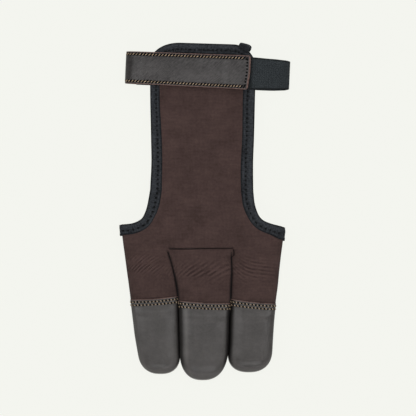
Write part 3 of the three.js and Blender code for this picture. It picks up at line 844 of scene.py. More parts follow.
def strap_skin(line, far, thick, round_edge, face, corner=0.0, wave=None, shift=0.0):
    """Outer (face 1) or inner (face -1) skin of a strap, and its map. Its width follows the line's third column, less a
    quarter round of the given corner at the free end, and its edges are rounded."""
    _, out = strip_frame(line)
    across = np.sin(np.linspace(-1, 1, STRAP_COLUMNS) * math.pi / 2)
    width = line[:, 2]
    left = far[-1] - far
    if corner:
        width = width - 2 * corner * quarter(np.clip(1 - left / corner, 0, 1))
    y = across[None, :] * width[:, None] / 2
    sides = np.clip((width[:, None] / 2 - np.abs(y)) / round_edge, 0, 1)
    ends = np.clip(np.minimum(far, left) / round_edge, 0, 1)[:, None]
    drop = round_edge * np.maximum(quarter(1 - sides), quarter(1 - ends))
    height = face * (thick / 2 - drop)
    if wave is not None:
        height = height + face * wave(far[:, None], y) * step(0.5, 3.0, line[:, 1])[:, None]
    x = line[:, 0][:, None] + height * out[:, 0][:, None]
    z = line[:, 1][:, None] + height * out[:, 1][:, None]
    uv = join(far[:, None], y * (line[:, 2].max() / line[:, 2])[:, None])
    return strap_place(np.stack([x, y + shift, z], -1)), uv


def slant_end(points, u, v, length):
    """Draws the tab's free end in towards its lower corner, by END_SLANT there and smoothly less up the end and back
    along the tab."""
    points[..., 0] -= END_SLANT * step(length - 16, length, u) * step(-2.0, TAB_WIDTH / 2, -v)
    return points


def strap_band(name, look, top, under):
    """A strap from its outer and inner skin, closed by strips along their four borders."""
    border = lambda grid: np.concatenate([grid[0], grid[1:, -1], grid[-1, -2::-1], grid[-2::-1, 0]])
    rim, rim_map = (np.stack([border(grid) for grid in pair]) for pair in zip(top, under))
    return make(name, [(top[0], True, top[1]), (under[0], False, under[1]), (rim, False, rim_map)], look)


# ---- stitches


def thread_pieces(centres, along, upward, length, radius, rise):
    """One short bowed thread for each centre: a tube whose middle line rises by a parabola and whose radius shrinks
    towards both ends, all computed together as arrays of stitch, ring, side and axis. Each lies a little askew."""
    t = np.linspace(-1, 1, THREAD_RINGS)
    turn = np.linspace(0, 2 * math.pi, THREAD_SIDES + 1)
    uneven = np.sin(np.arange(len(centres)) * GOLDEN_ANGLE)[:, None]
    along = unit(along) + 0.16 * uneven * np.cross(along, upward)
    centres = centres + 0.07 * np.roll(uneven, 1) * along
    along = unit(along)
    sideways = unit(np.cross(upward, along))
    upward = np.cross(along, sideways)
    thick = radius * np.sqrt(np.clip(1 - t**4, 0, 1))
    lift = rise * (1 - t**2) - 0.25 * radius
    a = (t * length / 2)[None, :, None, None] * along[:, None, None, :]
    b = (lift[:, None] + thick[:, None] * np.sin(turn)[None, :])[None, :, :, None] * upward[:, None, None, :]
    c = (thick[:, None] * np.cos(turn)[None, :])[None, :, :, None] * sideways[:, None, None, :]
    return centres[:, None, None, :] + a + b + c


def sew(name, threads, look):
    """All threads of one seam as one mesh, kept over the table."""
    count, rings, sides = threads.shape[:3]
    faces = grid_faces(rings, sides)[None] + (np.arange(count) * rings * sides)[:, None, None]
    points = threads.reshape(-1, 3)
    points[:, 2] = np.maximum(points[:, 2], THREAD_FLOOR)
    return mount(add_mesh(name, points, faces.reshape(-1, 4), look, THREAD_WELD), None)


# ---- materials


class Term:
    """A shader value. Sums, differences, products and quotients of terms add Math nodes to its material."""

    def __init__(self, shader, socket):
        self.shader, self.socket = shader, socket

    def __add__(self, other):
        return self.shader.math("ADD", self, other)

    def __sub__(self, other):
        return self.shader.math("SUBTRACT", self, other)

    def __rsub__(self, other):
        return self.shader.math("SUBTRACT", other, self)

    def __mul__(self, other):
        return self.shader.math("MULTIPLY", self, other)

    def __truediv__(self, other):
        return self.shader.math("DIVIDE", self, other)

    __radd__, __rmul__ = __add__, __mul__


class Shader:
    """A node material with one principled surface."""

    def __init__(self, name, **constants):
        self.material = bpy.data.materials.new(name)
        self.material.use_nodes = True
        self.tree = self.material.node_tree
        self.surface = next(n for n in self.tree.nodes if n.type == "BSDF_PRINCIPLED")
        for key, value in constants.items():
            self.surface.inputs[key.replace("_", " ").title().replace("Ior", "IOR")].default_value = value

    def node(self, kind, settings=None, **inputs):
        """Adds a node. Its settings come first, then each input by its name, or by i and its number."""
        made = self.tree.nodes.new(kind)
        for key, value in (settings or {}).items():
            setattr(made, key, value)
        for key, value in inputs.items():
            socket = made.inputs[int(key[1:])] if key[0] == "i" and key[1:].isdigit() else made.inputs[key]
            if isinstance(value, Term):
                self.tree.links.new(value.socket, socket)
            else:
                socket.default_value = value
        return made

    def out(self, made, name=0):
        return Term(self, made.outputs[name])

    def math(self, operation, a, b=0.0, clamp=False):
        return self.out(self.node("ShaderNodeMath", {"operation": operation, "use_clamp": clamp}, i0=a, i1=b))

    def sine(self, value):
        return self.math("SINE", value)

    def power(self, base, value):
        return self.math("POWER", base, value)

    def most(self, a, b):
        return self.math("MAXIMUM", a, b)

    def bell(self, value, middle, sharp):
        """1 at the middle, falling off as e to minus sharp times the square of the distance."""
        return self.power(math.e, (value - middle) * (value - middle) * -sharp)

    def smooth(self, low, high, value):
        """0 below low and 1 above high, smoothly."""
        places = {"From Min": low, "From Max": high}
        return self.out(self.node("ShaderNodeMapRange", {"interpolation_type": "SMOOTHSTEP"}, Value=value, **places))

    def between(self, rise, fall, value):
        """A smooth rise from 0 to 1 over the first pair of numbers, and a smooth fall back to 0 over the second."""
        return self.smooth(*rise, value) * (1 - self.smooth(*fall, value))

    def place(self):
        return self.out(self.node("ShaderNodeTexCoord"), "Object")

    def surface_map(self):
        """The two lengths of the piece's own map, in millimetres."""
        chart = self.out(self.node("ShaderNodeUVMap", {"uv_map": "Surface"}), "UV")
        made = self.node("ShaderNodeSeparateXYZ", None, Vector=chart)
        return [self.out(made, axis) for axis in "XY"]

    def shade(self):
        return self.out(self.node("ShaderNodeAttribute", {"attribute_name": "Shade"}), "Fac")

    def noise(self, vector, scale, detail=3.0, roughness=0.55, distortion=0.0):
        inputs = dict(Vector=vector, Scale=scale, Detail=detail, Roughness=roughness, Distortion=distortion)
        return self.out(self.node("ShaderNodeTexNoise", None, **inputs), "Fac")

    def patches(self, u, v, dense_u, dense_v, seed=0.0, detail=3.0, roughness=0.55):
        """Noise over the piece's map, with its patches that many to the millimetre along and across."""
        vector = self.node("ShaderNodeCombineXYZ", None, X=u * dense_u, Y=v * dense_v, Z=seed)
        return self.noise(self.out(vector), 1.0, detail, roughness)

    def mix(self, factor, a, b):
        """Colour a where factor is 0 and b where it is 1."""
        made = self.node("ShaderNodeMix", {"data_type": "RGBA"})
        for number, value in ((0, factor), (6, a), (7, b)):
            if isinstance(value, Term):
                self.tree.links.new(value.socket, made.inputs[number])
            else:
                made.inputs[number].default_value = (*value[:3], 1)
        return Term(self, made.outputs[2])

    def tones(self, level, color, dark, light):
        """The colour times dark where level is 0 and times light where it is 1."""
        shades = [times(gain, color) for gain in (dark, light)]
        return self.mix(self.math("ADD", level, 0.0, True), *shades)

    def finish(self, color, roughness, height=None, depth=0.0002, coat=None):
        for name, value in (("Base Color", color), ("Roughness", roughness), ("Coat Weight", coat)):
            if value is not None:
                self.tree.links.new(value.socket, self.surface.inputs[name])
        if height is not None:
            bump = self.node("ShaderNodeBump", None, Strength=1.0, Distance=depth, Height=height)
            self.tree.links.new(bump.outputs["Normal"], self.surface.inputs["Normal"])
        return self.material


def cloth_look(settings):
    """Brown stretch cloth: a fine knit, slow mottling, faint streaks across, and small wrinkles over the finger roots,
    with painted shade in their valleys and painted highlight on their ridges, a band of painted light over the roots,
    and painted shade in the seams, down the gaps between the fingers and just past the leather's cut edge."""
    shader = Shader("brown_stretch_cloth", sheen_weight=0.04, sheen_roughness=0.5, specular_ior_level=0.08)
    place = shader.place()
    x, y = shader.surface_map()
    mottle = shader.patches(x, y, 0.07, 0.085, 0.0, 4, 0.6)
    streak = shader.patches(x, y, 0.14, 0.62, 0.0, 3, 0.6)
    drawn = shader.patches(x, y, 0.62, 0.09, 5.0, 3, 0.6)
    pile = shader.patches(x, y, 0.72, 0.72, 0.0, 2, 0.5)
    fuzz = shader.noise(place, 2600, 2, 0.6)
    knit = shader.sine(x * (2 * math.pi / 0.62)) * shader.sine(y * (2 * math.pi / 0.5))
    breaks = shader.patches(x, y, 0.22, 0.3, 9.0, 2, 0.5)
    creases_and_shade = wrinkles(x, y, shader.sine, shader.power) * shader.smooth(0.34, 0.6, breaks)
    tone = (mottle - 0.5) * 1.6 + (streak - 0.5) * 0.75 + (drawn - 0.5) * 0.5 + (pile - 0.5) * 0.8 + (fuzz - 0.5) * 0.4
    # The wrinkle waves give painted shade and highlight in the colour, and the band at y 67 is painted lighter.
    level = tone + knit * 0.05 + creases_and_shade + shader.bell(y, 67.0, 0.018) * 0.11 + 0.5
    color = shader.tones(level, settings.cloth_color, 0.70, 1.30)
    # Painted shade from the Shade attribute.
    color = shader.mix(shader.shade() * 0.94, color, times(0.03, settings.cloth_color))
    height = knit * 0.12 + fuzz * 0.5 + pile * 0.5 + streak * 0.4 + creases_and_shade
    return shader.finish(color, fuzz * 0.15 + 0.82, height, 0.00018)


def leather_look(name, settings, color, seam, scuffs, wear, lean):
    """Charcoal leather: pores and a fine grain, cloudy wear, slanting scuffs, black needle holes along its seams, and a
    paler cut edge. seam is a function of the shader and the surface map that gives 1 in the holes, 1 on the edge, and
    how dark the leather is painted: painted shade above 0, painted highlight below it, and on the tab plain darker
    leather too, along the stitches and past the fold. lean darkens the piece across its width."""
    shader = Shader(name, specular_ior_level=0.03, coat_roughness=0.33, coat_ior=1.45)
    place = shader.place()
    u, v = shader.surface_map()
    cloud = shader.patches(u, v, 0.05, 0.09, 0.0, 3, 0.55)
    patch = shader.patches(u, v, 0.24, 0.24, 3.0, 3, 0.6)
    pebble = shader.patches(u, v, 0.75, 0.75, 7.0, 2, 0.5)
    scuff = shader.patches(u - v, u + v, 1.25, 0.16, 2.0, 3, 0.6) - 0.5
    scuff = scuff * (shader.smooth(1.5, 8.5, shader.math("ABSOLUTE", v)) + 0.45) * scuffs
    grain = shader.node(
        "ShaderNodeTexVoronoi", {"feature": "DISTANCE_TO_EDGE"}, Vector=place, Scale=1500.0, Randomness=1.0
    )
    cells = shader.smooth(0.0, 0.12, shader.out(grain, "Distance"))
    fine = shader.noise(place, 3200, 2, 0.5)
    holes, rim, painted_light_and_darkening = seam(shader, u, v)
    tone = (cloud - 0.5) * 0.8 - v * lean + (patch - 0.5) * 0.6 + (pebble - 0.5) * 0.6 + scuff + (cells - 0.8) * 0.08
    base = shader.tones((tone + (fine - 0.5) * 0.3) * wear + 0.5, color, 0.6, 1.4)
    # Painted shade darkens the leather where the seam's third value is above 0, and painted highlight lightens it below
    # 0.
    base = shader.mix(painted_light_and_darkening, base, times(0.02, color))
    base = shader.mix(shader.math("MULTIPLY", painted_light_and_darkening, -0.75, True), base, times(2.1, color))
    base = shader.mix(rim, base, shader.tones(pebble * 2.0 - 0.5, settings.edge_color, 0.65, 1.35))
    base = shader.mix(holes, base, INK)
    height = cells * 0.3 + fine * 0.2 + patch * 0.5 + pebble * 0.5 + scuff * 0.5 - holes * 3.0 + rim * 0.5
    coat = (1 - holes) * (1 - rim) * (1 - painted_light_and_darkening) * (cloud * 0.6 + patch * 0.3 + 0.3) * settings.leather_polish
    return shader.finish(base, (patch - 0.5) * 0.2 + 0.7, height, 0.00014, coat)


def hole_row(shader, along, across, line, pitch, size, shift=0.0, slant=0.0):
    """Black needle holes along a line: ovals of half lengths size, one a pitch, shift of a pitch on, along a slant."""
    waver = shader.patches(along, across, 0.6, 0.6, 2.0, 1) - 0.5
    away = across - line + waver * 0.4
    cell = shader.math("FRACT", (along + away * slant + waver * 0.3) / pitch + shift)
    near = (cell - 0.5) * (pitch / size[0])
    away = away / size[1]
    return 1 - shader.smooth(0.6, 1.15, near * near + away * away)


def cap_seam(settings):
    """Needle holes of a cap's two stitch rows, and its cut edge. u runs round the finger, v down from the cut edge."""

    def seam(shader, u, v):
        first, second = (
            hole_row(shader, u, v, line, settings.cap_pitch, (0.6, 0.7), shift, 0.3)
            for line, shift in ((settings.cap_first_row, 0.0), (settings.cap_second_row, 0.5))
        )
        # The Shade attribute: painted shade at the folds, painted highlight below 0, and under -1 the tip's rim.
        painted_light_and_darkening = shader.shade()
        sole = shader.smooth(1.2, 1.7, painted_light_and_darkening * -1.0) * 0.85
        return shader.most(first, second), shader.most(1 - shader.smooth(0.25, 0.6, v), sole), painted_light_and_darkening

    return seam


def tab_seam(settings, length, fold):
    """Needle holes along the tab's long edges and its free end, the cut edge round it, painted shade along the fold,
    for u between the two numbers in fold, and darker leather along the stitches and on a little past the fold."""

    def seam(shader, u, v):
        side = shader.math("ABSOLUTE", v)
        line = TAB_WIDTH / 2 - settings.tab_margin
        last = length - settings.tab_margin - END_MARGIN
        slant = shader.math("SIGN", v) * -0.8
        long_rows = hole_row(shader, u, side, line, settings.tab_pitch, (0.66, 1.15), 0.0, slant)
        long_rows = long_rows * (1 - shader.smooth(last - 0.2, last + 0.4, u))
        end_row = hole_row(shader, v, u, last, settings.tab_pitch, (0.62, 0.66), 0.5)
        end_row = end_row * (1 - shader.smooth(line - 0.2, line + 0.4, side))
        long_rim = shader.smooth(TAB_WIDTH / 2 - 0.7, TAB_WIDTH / 2 - 0.3, side)
        rim = shader.most(long_rim, shader.smooth(length - 1.2, length - 0.75, u))
        start, end = fold
        # Painted shade over the fold; the other two only darken the leather near the stitches and from the fold on past
        # it.
        fold_painted_shade = shader.between((start, start + 3.0), (end - 4.0, end), u) * 0.4
        fold_and_beyond = shader.between((start, start + 3.0), (end + 2.0, end + 11.0), u) * 0.25
        near_stitches = shader.bell(side, line, 0.7) * 0.28
        return shader.most(long_rows, end_row), rim, shader.most(shader.most(fold_painted_shade, near_stitches), fold_and_beyond)

    return seam


def tape_look(settings):
    """Black folded tape: a fine rib across it, black needle holes along its stitch line, a dusty, slightly blue face, a
    painted highlight along the crown of its rolled edge, painted shade from there round the rolled edge, and a painted
    shadow along its inner edge on the back. u runs along the tape from the wrist's right end, and the holes are deepest
    down the left side. v runs across its section from the inner edge on the back."""
    shader = Shader("black_binding_tape", sheen_weight=0.05, sheen_roughness=0.4, specular_ior_level=0.06)
    u, v = shader.surface_map()
    rib = shader.sine(u * (2 * math.pi / 1.25) + shader.patches(u, v, 0.3, 0.5, 0.0, 2) * 6)
    fuzz = shader.noise(shader.place(), 2200, 3, 0.6)
    pile = shader.patches(u, v, 0.8, 0.9, 0.0, 2, 0.5)
    cloud = shader.patches(u, v, 0.16, 0.3, 4.0, 3, 0.6)
    deep = shader.between((45.0, 60.0), (150.0, 185.0), u) * 0.27 + 0.73
    holes = hole_row(shader, u, v, settings.tape_row, settings.tape_pitch, (0.72, 0.62)) * deep
    level = (fuzz - 0.5) * 0.4 + (pile - 0.5) * 1.7 + (cloud - 0.5) * 1.2 + rib * 0.1
    # A painted highlight along the crown of the rolled edge.
    level = level + shader.bell(v, 5.3, 1.5) * 0.2 + 0.62 - shader.bell(v, settings.tape_row, 1.6) * 0.16
    color = shader.tones(level, settings.tape_color, 0.35, 1.6)
    # Painted shade round the rolled edge and a painted shadow along the inner edge.
    rolled, tucked = shader.smooth(6.2, 6.9, v) * 0.85, (1 - shader.smooth(0.9, 1.6, v)) * 0.55
    color = shader.mix(shader.most(rolled, tucked), color, times(0.1, settings.tape_color))
    color = shader.mix(holes, color, INK)
    height = rib * 0.3 + fuzz * 0.3 + pile * 0.5 - holes * 2.0
    return shader.finish(color, fuzz * 0.15 + 0.8, height, 0.00016)


def elastic_look(settings):
    """Black elastic webbing: ribs along it, picks across, firm dark selvedges, a painted shadow beside the tab's end
    and a slight dusty mottling. u runs along the webbing from its sewn end, v across it from its middle line."""
    shader = Shader("black_elastic_webbing", sheen_weight=0.05, sheen_roughness=0.45, specular_ior_level=0.06)
    u, v = shader.surface_map()
    waver = shader.patches(u, v, 0.2, 0.3, 0.0, 2) * 3.0
    picks = shader.sine(u * (2 * math.pi / 1.42) + waver)
    ribs = shader.sine(v * (2 * math.pi / 1.5) + waver * 0.6)
    fuzz = shader.noise(shader.place(), 2400, 3, 0.6)
    pile = shader.patches(u, v, 0.8, 0.7, 0.0, 2, 0.5)
    cloud = shader.patches(u, v, 0.12, 0.15, 4.0, 3, 0.6)
    edge = shader.smooth(ELASTIC_WIDTH / 2 - 1.3, ELASTIC_WIDTH / 2 - 0.7, shader.math("ABSOLUTE", v))
    level = picks * 0.09 + ribs * 0.05 + (fuzz - 0.5) * 0.3 + (pile - 0.5) * 0.5 + (cloud - 0.5) * 0.6 + 0.5
    color = shader.tones(level, settings.elastic_color, 0.47, 1.6)
    # Painted shadow of the tab's end on the webbing.
    beside = shader.between((10.4, 11.2), (12.7, 13.5), u) * 0.6
    color = shader.mix(shader.most(edge * 0.7, beside), color, times(0.2, settings.elastic_color))
    height = (ribs * 0.25 + picks * 0.3) * (1 - edge) + fuzz * 0.2 + edge * 0.4
    return shader.finish(color, fuzz * 0.15 + 0.78, height, 0.00018)


def thread_look(name, color):
    """Waxed thread: two plies wound round each other, with slight changes of tone."""
    shader = Shader(name, specular_ior_level=0.15)
    place = shader.place()
    ply = shader.sine(shader.noise(place, 900, 1) * 18)
    tone = shader.noise(place, 420, 2)
    color = shader.tones(tone * 1.4 + ply * 0.12 - 0.2, color, 0.5, 1.4)
    return shader.finish(color, tone * 0.3 + 0.5, ply, 0.00004)


def fleece_look():
    """Black hook-and-loop fleece."""
    shader = Shader("black_closure_fleece", sheen_weight=0.5, specular_ior_level=0.1)
    loops = shader.noise(shader.place(), 1800, 4, 0.7, 0.6)
    color = shader.mix(loops, (0.006, 0.006, 0.007), (0.03, 0.03, 0.034))
    return shader.finish(color, loops * 0.1 + 0.88, loops, 0.0004)


def floor_look(settings):
    """Pale paper with the faintest grain. Most of its brightness is its own, as on a light table, so it takes hardly
    any shadow."""
    shader = Shader("pale_paper", specular_ior_level=0.0)
    grain = shader.noise(shader.place(), 30, 2)
    matt = times(1 - settings.floor_glow, settings.floor_color)
    color = shader.mix(grain, times(0.99, matt), matt)
    shader.surface.inputs["Emission Color"].default_value = (*settings.floor_color, 1)
    shader.surface.inputs["Emission Strength"].default_value = settings.floor_glow
    return shader.finish(color, grain * 0.05 + 0.9)


# ---- settings

# Colours: key, name, what has the colour, and its sRGB code.
COLORS = (
    ("cloth_color", "Cloth colour", "the stretch cloth", "453633"),
    ("leather_color", "Cap colour", "the fingertip leather", "494644"),
    ("tab_color", "Tab colour", "the strap's leather", "3f3c3b"),
    ("edge_color", "Cut edge colour", "the leather's raw edge", "725c56"),
    ("tape_color", "Tape colour", "the edge binding", "2d2f32"),
    ("elastic_color", "Elastic colour", "the wrist elastic", "303436"),
    ("thread_color", "Thread colour", "the leather's stitches", "b39b80"),
    ("cap_thread_color", "Cap thread colour", "the stitches on the fingertips", "a08c74"),
    ("floor_color", "Floor colour", "the floor", "f4f5ef"),
)

# Lengths in millimetres: key, name, description, default, least and most.
LENGTHS = (
    ("cloth_wall", "Cloth thickness", "Thickness of the cloth", 1.9, 0.8, 3),
    ("leather_wall", "Leather thickness", "Thickness of the cap leather", 1.2, 0.6, 2),
    ("cap_pitch", "Cap stitch pitch", "Distance between a cap's stitches", 2.2, 1, 5),
    ("cap_first_row", "First row", "First stitch row from the cap's edge", 1.6, 1, 5),
    ("cap_second_row", "Second row", "Second stitch row from the cap's edge", 3.5, 2, 8),
    ("tab_pitch", "Tab stitch pitch", "Distance between the tab's stitches", 1.95, 1, 5),
    ("tab_margin", "Tab stitch margin", "Distance of the tab's stitches from its edge", 1.75, 0.8, 4),
    ("tape_pitch", "Tape stitch pitch", "Distance between the tape's stitches", 2.72, 1, 5),
    ("tape_row", "Tape stitch row", "Place of the stitch row on the tape's section", 2.95, 0.5, 5),
)

# Strengths of light and shine: key, name, description, and its numbers and kind.
STRENGTHS = (
    (
        "leather_polish", "Leather polish", "Strength of the leather's soft shine",
        dict(default=0.85, max=1.5, subtype="FACTOR"),
    ),
    ("floor_glow", "Floor glow", "Share of the floor's brightness that is its own light", dict(default=0.97, max=1)),
    ("sky", "Sky", "Strength of the light from all round", dict(default=0.22, max=5)),
    ("top_power", "Top light", "Power of the light over the glove", dict(default=6.5, subtype="POWER")),
    ("side_power", "Side lights", "Power of each softbox beside the glove", dict(default=4.4, subtype="POWER")),
)


def color_setting(name, what, code):
    return bpy.props.FloatVectorProperty(
        name=name, description=f"Colour of {what}", subtype="COLOR", default=linear(code)
    )


def length_setting(name, told, default, least, most):
    told = f"{told} in millimetres"
    return bpy.props.FloatProperty(name=name, description=told, default=default, min=least, max=most)


def strength_setting(name, told, options):
    return bpy.props.FloatProperty(name=name, description=told, min=0, **options)


class GloveSettings(bpy.types.PropertyGroup):
    """Colours, sizes and lights of the glove"""

    __annotations__ = {
        **{key: color_setting(*rest) for key, *rest in COLORS},
        **{key: length_setting(*rest) for key, *rest in LENGTHS},
        **{key: strength_setting(*rest) for key, *rest in STRENGTHS},
    }


# ---- steps


class GLOVE_OT_cloth(bpy.types.Operator):
    """Makes the hand's cloth and the middle finger's insert"""

    bl_idname = "glove.cloth"
    bl_label = "Cloth"

    def execute(self, context):
        settings = context.scene.glove
        look = cloth_look(settings)
        y = cloth_rows(CLOTH_START, LENGTH - CLOTH_SHORT)
        palm_y = y[y <= WING]
        cut, seam = np.searchsorted(y, INSERT_TOP), np.searchsorted(palm_y, PALM_SEAM)
        top = {finger: strip_sheet(finger, y, 1) for finger in FINGERS}
        palm = {finger: palm_warp(strip_sheet(finger, palm_y, -1)) for finger in FINGERS}

        def part(sheets, finger, first=0, last=None):
            points, plane, shade = (values[first:last] for values in sheets[finger])
            return points, sheets is palm, plane, shade

        hand = [part(top, "index"), part(top, "middle", cut), part(top, "ring")]
        hand += [part(palm, "index"), part(palm, "middle", seam), part(palm, "ring")]
        insert = [part(top, "middle", 0, cut + 1), part(palm, "middle", 0, seam + 1)]
        for name, node, sheets in (
            ("hand_cloth", "hand_shell", hand),
            ("middle_finger_insert", "middle_stall", insert),
        ):
            mount(thicken(make(name, sheets, look), settings.cloth_wall), "hand_cloth", node)
        return {"FINISHED"}


class GLOVE_OT_caps(bpy.types.Operator):
    """Makes the three leather fingertips and their two rows of stitches"""

    bl_idname = "glove.caps"
    bl_label = "Fingertips"

    def execute(self, context):
        settings = context.scene.glove
        look = leather_look(
            "charcoal_cap_leather", settings, settings.leather_color, cap_seam(settings), scuffs=0.0, wear=0.9, lean=0.0
        )
        thread = thread_look("cap_thread", settings.cap_thread_color)
        for finger in FINGERS:
            turn = np.linspace(0, 2, 2 * CAP_COLUMNS + 1)
            length = cap_length(finger)
            back = np.concatenate([np.linspace(0, 5.0, 17) / length, np.linspace(5.6 / length, 1, 60)])
            far = ring_length(finger, turn)
            count = round(far[-1] / settings.cap_pitch)
            pitch = far[-1] / count
            grid = cap_points(finger, turn[None, :], back[:, None])
            uv = join(far[None, :] * (settings.cap_pitch / pitch), (back * length)[:, None])
            cap = make(f"{finger}_fingertip", [(grid, True, uv, fold_shade(finger, turn, back))], look)
            mount(thicken(cap, settings.leather_wall), "cap_leather", f"{finger}_cap")
            seams = []
            for row, shift in ((settings.cap_first_row, 0.0), (settings.cap_second_row, 0.5)):
                seams.append(self.row(finger, (np.arange(count) + shift) * pitch, row / length))
            sew(f"{finger}_stitches", np.concatenate(seams), thread)
        return {"FINISHED"}

    def row(self, finger, places, back):
        """Threads at the places round a cap, slanting down it."""
        dense = np.linspace(0, 2, 800)
        turn = np.interp(places, ring_length(finger, dense), dense)
        back = np.full_like(turn, back)
        centre = cap_points(finger, turn, back)
        ahead = cap_points(finger, turn + 0.004, back) - cap_points(finger, np.maximum(turn - 0.004, 0), back)
        down = cap_points(finger, turn, back + 0.01) - cap_points(finger, turn, np.maximum(back - 0.01, 0))
        ahead, down = unit(ahead), unit(down)
        return thread_pieces(centre, ahead + THREAD_SLANT * down, np.cross(down, ahead), 1.6, 0.27, 0.2)


class GLOVE_OT_binding(bpy.types.Operator):
    """Makes the folded tape round the glove's edge, its stitches and its lapped end"""

    bl_idname = "glove.binding"
    bl_label = "Binding"

    def execute(self, context):
        settings = context.scene.glove
        look = tape_look(settings)
        path = edge_path()
        grid, uv = tape_surface(path, TAPE_SECTION)
        tape = make("edge_tape", [(grid, False, uv)], look)
        mount(thicken(tape, TAPE_WALL, False), "binding_tape", "edge_binding")
        loop, along, inward, upward, far = path
        length = far[-1] + 0.5
        count = round(length / settings.tape_pitch)
        place = (np.arange(count) + 0.5) * length / count
        place = place[np.abs(np.interp(place, far, loop[:, 0])) < WING_END * HALF - 1.5]
        middle, along, inward, upward = (look_up(place, far, values) for values in (loop, along, inward, upward))
        deep = STITCH_DEPTH * (1 + tape_spread(middle[:, 0], middle[:, 1]))
        centre = middle + deep[:, None] * inward + STITCH_OUT * upward
        dark = thread_look("black_thread", times(0.45, settings.tape_color))
        sew("tape_stitches", thread_pieces(centre, along, upward, 1.5, 0.22, 0.08), dark)
        mount(self.lapped_end(look), "binding_tape", "binding_overlap")
        return {"FINISHED"}

    def lapped_end(self, look):
        """The tape's end, lapped over the corner: a flat lump, 8 by 4 mm, that is a superellipse in plan, with a rolled
        ridge along its outer side and a crease beside the ridge."""
        u = np.linspace(-1, 1, 41)[None, :]
        v = np.linspace(0, 2 * math.pi, 65)[:, None]
        spread = np.clip(1 - np.abs(u) ** 5, 0, 1) ** 0.33
        c, s = np.cos(v), np.sin(v)
        x = 4.0 * u
        y = (2.1 + 0.3 * np.sin(2.2 * u + 0.5)) * spread * np.sign(c) * np.abs(c) ** 0.75
        swell = 1 + 0.42 * bell(y, 1.3, 0.6) - 0.4 * bell(y, 0.45 + 0.2 * u, 0.3)
        z = 1.15 * spread * np.sign(s) * np.abs(s) ** 0.7 * np.where(s > 0, swell * (1 + 0.15 * np.sin(2.6 * u + 1)), 1)
        turn = math.radians(-24)
        px = PANEL - 5.1 + math.cos(turn) * x - math.sin(turn) * y
        py = LENGTH - 1.95 + math.sin(turn) * x + math.cos(turn) * y
        # Its map sets the lump's body in the tape's painted shade of the rolled edge and its ridge nearer its painted
        # highlight.
        uv = join(x + 20, 6.6 - 0.8 * bell(y, 1.3, 0.5) * (s > 0))
        return make("lapped_tape_end", [(join(px, py, TAPE_TOP + 1.0 + z), True, uv)], look)


class GLOVE_OT_strap(bpy.types.Operator):
    """Makes the wrist elastic, the leather tab with its stitches, and dresses the closure's pad"""

    bl_idname = "glove.strap"
    bl_label = "Wrist strap"

    def execute(self, context):
        settings = context.scene.glove
        self.elastic(settings)
        self.tab(settings)
        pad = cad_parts["closure_pad"]
        pad.data.materials.clear()
        pad.data.materials.append(fleece_look())
        return {"FINISHED"}

    def elastic(self, settings):
        line, far = elastic_line()
        ribs = lambda u, v: 0.05 * np.cos(2 * math.pi * v / 1.05) * (np.abs(v) < 8.6)
        skins = [strap_skin(line, far, ELASTIC_THICK, 0.45, face, 0.0, ribs, ELASTIC_SHIFT) for face in (1, -1)]
        mount(strap_band("wrist_webbing", elastic_look(settings), *skins), "elastic_webbing", "wrist_elastic")

    def tab(self, settings):
        line, far = tab_line()
        length = far[-1]
        outer = far[np.argmin(line[:, 0])]
        margin = settings.tab_margin
        seam = tab_seam(settings, length, (outer - 9.0, outer + 6.0))
        look = leather_look(
            "charcoal_tab_leather", settings, settings.tab_color, seam, scuffs=2.2, wear=1.7, lean=0.012
        )

        def press(u, v):
            groove = TAB_GROOVE * (bell(TAB_WIDTH / 2 - np.abs(v), margin, 0.6) + bell(length - u, margin, 0.6))
            return 0.12 * np.sin(u / 6.3) * np.cos(v / 7.0) - groove

        skins = []
        for face, wave in ((1, press), (-1, None)):
            points, plane = strap_skin(line, far, TAB_THICK, 0.55, face, TAB_CORNER, wave)
            skins.append((slant_end(points, plane[..., 0], plane[..., 1], length), plane))
        mount(strap_band("leather_tab", look, *skins), "tab_leather", "strap_tab")
        self.tab_stitches(settings, line, far)

    def tab_stitches(self, settings, line, far):
        """Threads along the tab's two long edges, each slanting across the edge."""
        length, pitch = far[-1], settings.tab_pitch
        u = np.arange(int((length - settings.tab_margin - END_MARGIN) / pitch)) * pitch
        u = np.concatenate([u, u])
        (x, z, wide), (ahead_x, ahead_z), (out_x, out_z) = (
            look_up(u, far, values).T for values in (line, *strip_frame(line))
        )
        v = np.repeat([1, -1], len(u) // 2) * (TAB_WIDTH / 2 - settings.tab_margin) * wide / TAB_WIDTH
        lift = TAB_THICK / 2 - TAB_GROOVE
        centre = slant_end(strap_place(join(x + lift * out_x, v, z + lift * out_z)), u, v, length)
        heading, upward = strap_turn(join(ahead_x, THREAD_SLANT, ahead_z)), strap_turn(join(out_x, 0.0, out_z))
        thread = thread_look("tan_thread", settings.thread_color)
        sew("tab_stitches", thread_pieces(centre, heading, upward, 1.7, 0.26, 0.22), thread)


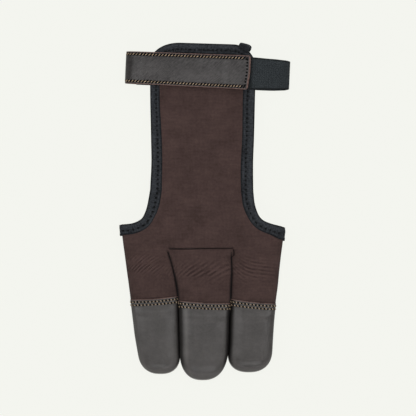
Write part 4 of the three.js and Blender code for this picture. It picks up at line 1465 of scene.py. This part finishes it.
class GLOVE_OT_stage(bpy.types.Operator):
    """Sets the floor, the soft lights and the camera over the glove"""

    bl_idname = "glove.stage"
    bl_label = "Stage"

    def execute(self, context):
        settings = context.scene.glove
        scene = context.scene
        mesh = bpy.data.meshes.new("floor")
        corners = ((-1, -1), (1, -1), (1, 1), (-1, 1))
        mesh.from_pydata([(x * FLOOR_REACH, y * FLOOR_REACH, 0) for x, y in corners], [], [(0, 1, 2, 3)])
        floor = bpy.data.objects.new("floor", mesh)
        mesh.materials.append(floor_look(settings))
        scene.collection.objects.link(floor)
        floor.visible_diffuse = False
        world = bpy.data.worlds.new("studio")
        world.use_nodes = True
        background = world.node_tree.nodes["Background"]
        background.inputs["Color"].default_value = (0.93, 0.96, 1.0, 1)
        background.inputs["Strength"].default_value = settings.sky
        scene.world = world
        for name, place, size, power in (
            ("left_softbox", (-0.8, 0.1, 1.05), (0.35, 1.0), settings.side_power),
            ("right_softbox", (0.8, 0.1, 1.05), (0.35, 1.0), settings.side_power),
            ("wrist_softbox", (0.0, 0.85, 1.05), (1.0, 0.35), settings.side_power * 0.8),
            ("finger_softbox", (0.0, -0.85, 1.05), (1.0, 0.35), settings.side_power),
            ("top_softbox", (0.0, 0.3, 2.9), (1.2, 1.2), settings.top_power),
        ):
            light = bpy.data.lights.new(name, "AREA")
            light.shape, light.size, light.size_y = "RECTANGLE", *size
            light.energy = power
            lamp = bpy.data.objects.new(name, light)
            scene.collection.objects.link(lamp)
            lamp.location = place
            lamp.rotation_euler = (-Vector(place)).to_track_quat("-Z", "Y").to_euler()
        camera = bpy.data.cameras.new("camera")
        eye = bpy.data.objects.new("camera", camera)
        scene.collection.objects.link(eye)
        x, y = (PICTURE / 2 - TIP_AT[0]) * PIXEL + PLACE[0], (TIP_AT[1] - PICTURE / 2) * PIXEL + PLACE[1]
        eye.location = (x * MM, y * MM, EYE_HEIGHT)
        camera.sensor_width = SENSOR
        camera.lens = SENSOR * (EYE_HEIGHT - SCALE_HEIGHT) / (PICTURE * PIXEL * MM)
        camera.clip_end = 20
        scene.camera = eye
        scene.view_settings.view_transform = "Standard"
        return {"FINISHED"}


STEPS = (GLOVE_OT_cloth, GLOVE_OT_caps, GLOVE_OT_binding, GLOVE_OT_strap, GLOVE_OT_stage)


class GLOVE_PT_panel(bpy.types.Panel):
    """Lists the glove's settings and steps"""

    bl_label = "Archery glove"
    bl_idname = "GLOVE_PT_panel"
    bl_space_type = "VIEW_3D"
    bl_region_type = "UI"
    bl_category = "Glove"

    def draw(self, context):
        for name in GloveSettings.__annotations__:
            self.layout.prop(context.scene.glove, name)
        for operator in STEPS:
            self.layout.operator(operator.bl_idname)


CLASSES = (GloveSettings, *STEPS, GLOVE_PT_panel)


def register():
    for cls in CLASSES:
        bpy.utils.register_class(cls)
    bpy.types.Scene.glove = bpy.props.PointerProperty(type=GloveSettings)


def unregister():
    del bpy.types.Scene.glove
    for cls in reversed(CLASSES):
        bpy.utils.unregister_class(cls)


def main():
    """Makes every piece in order."""
    register()
    for operator in STEPS:
        module, name = operator.bl_idname.split(".")
        getattr(getattr(bpy.ops, module), name)()


if __name__ == "__main__":
    main()
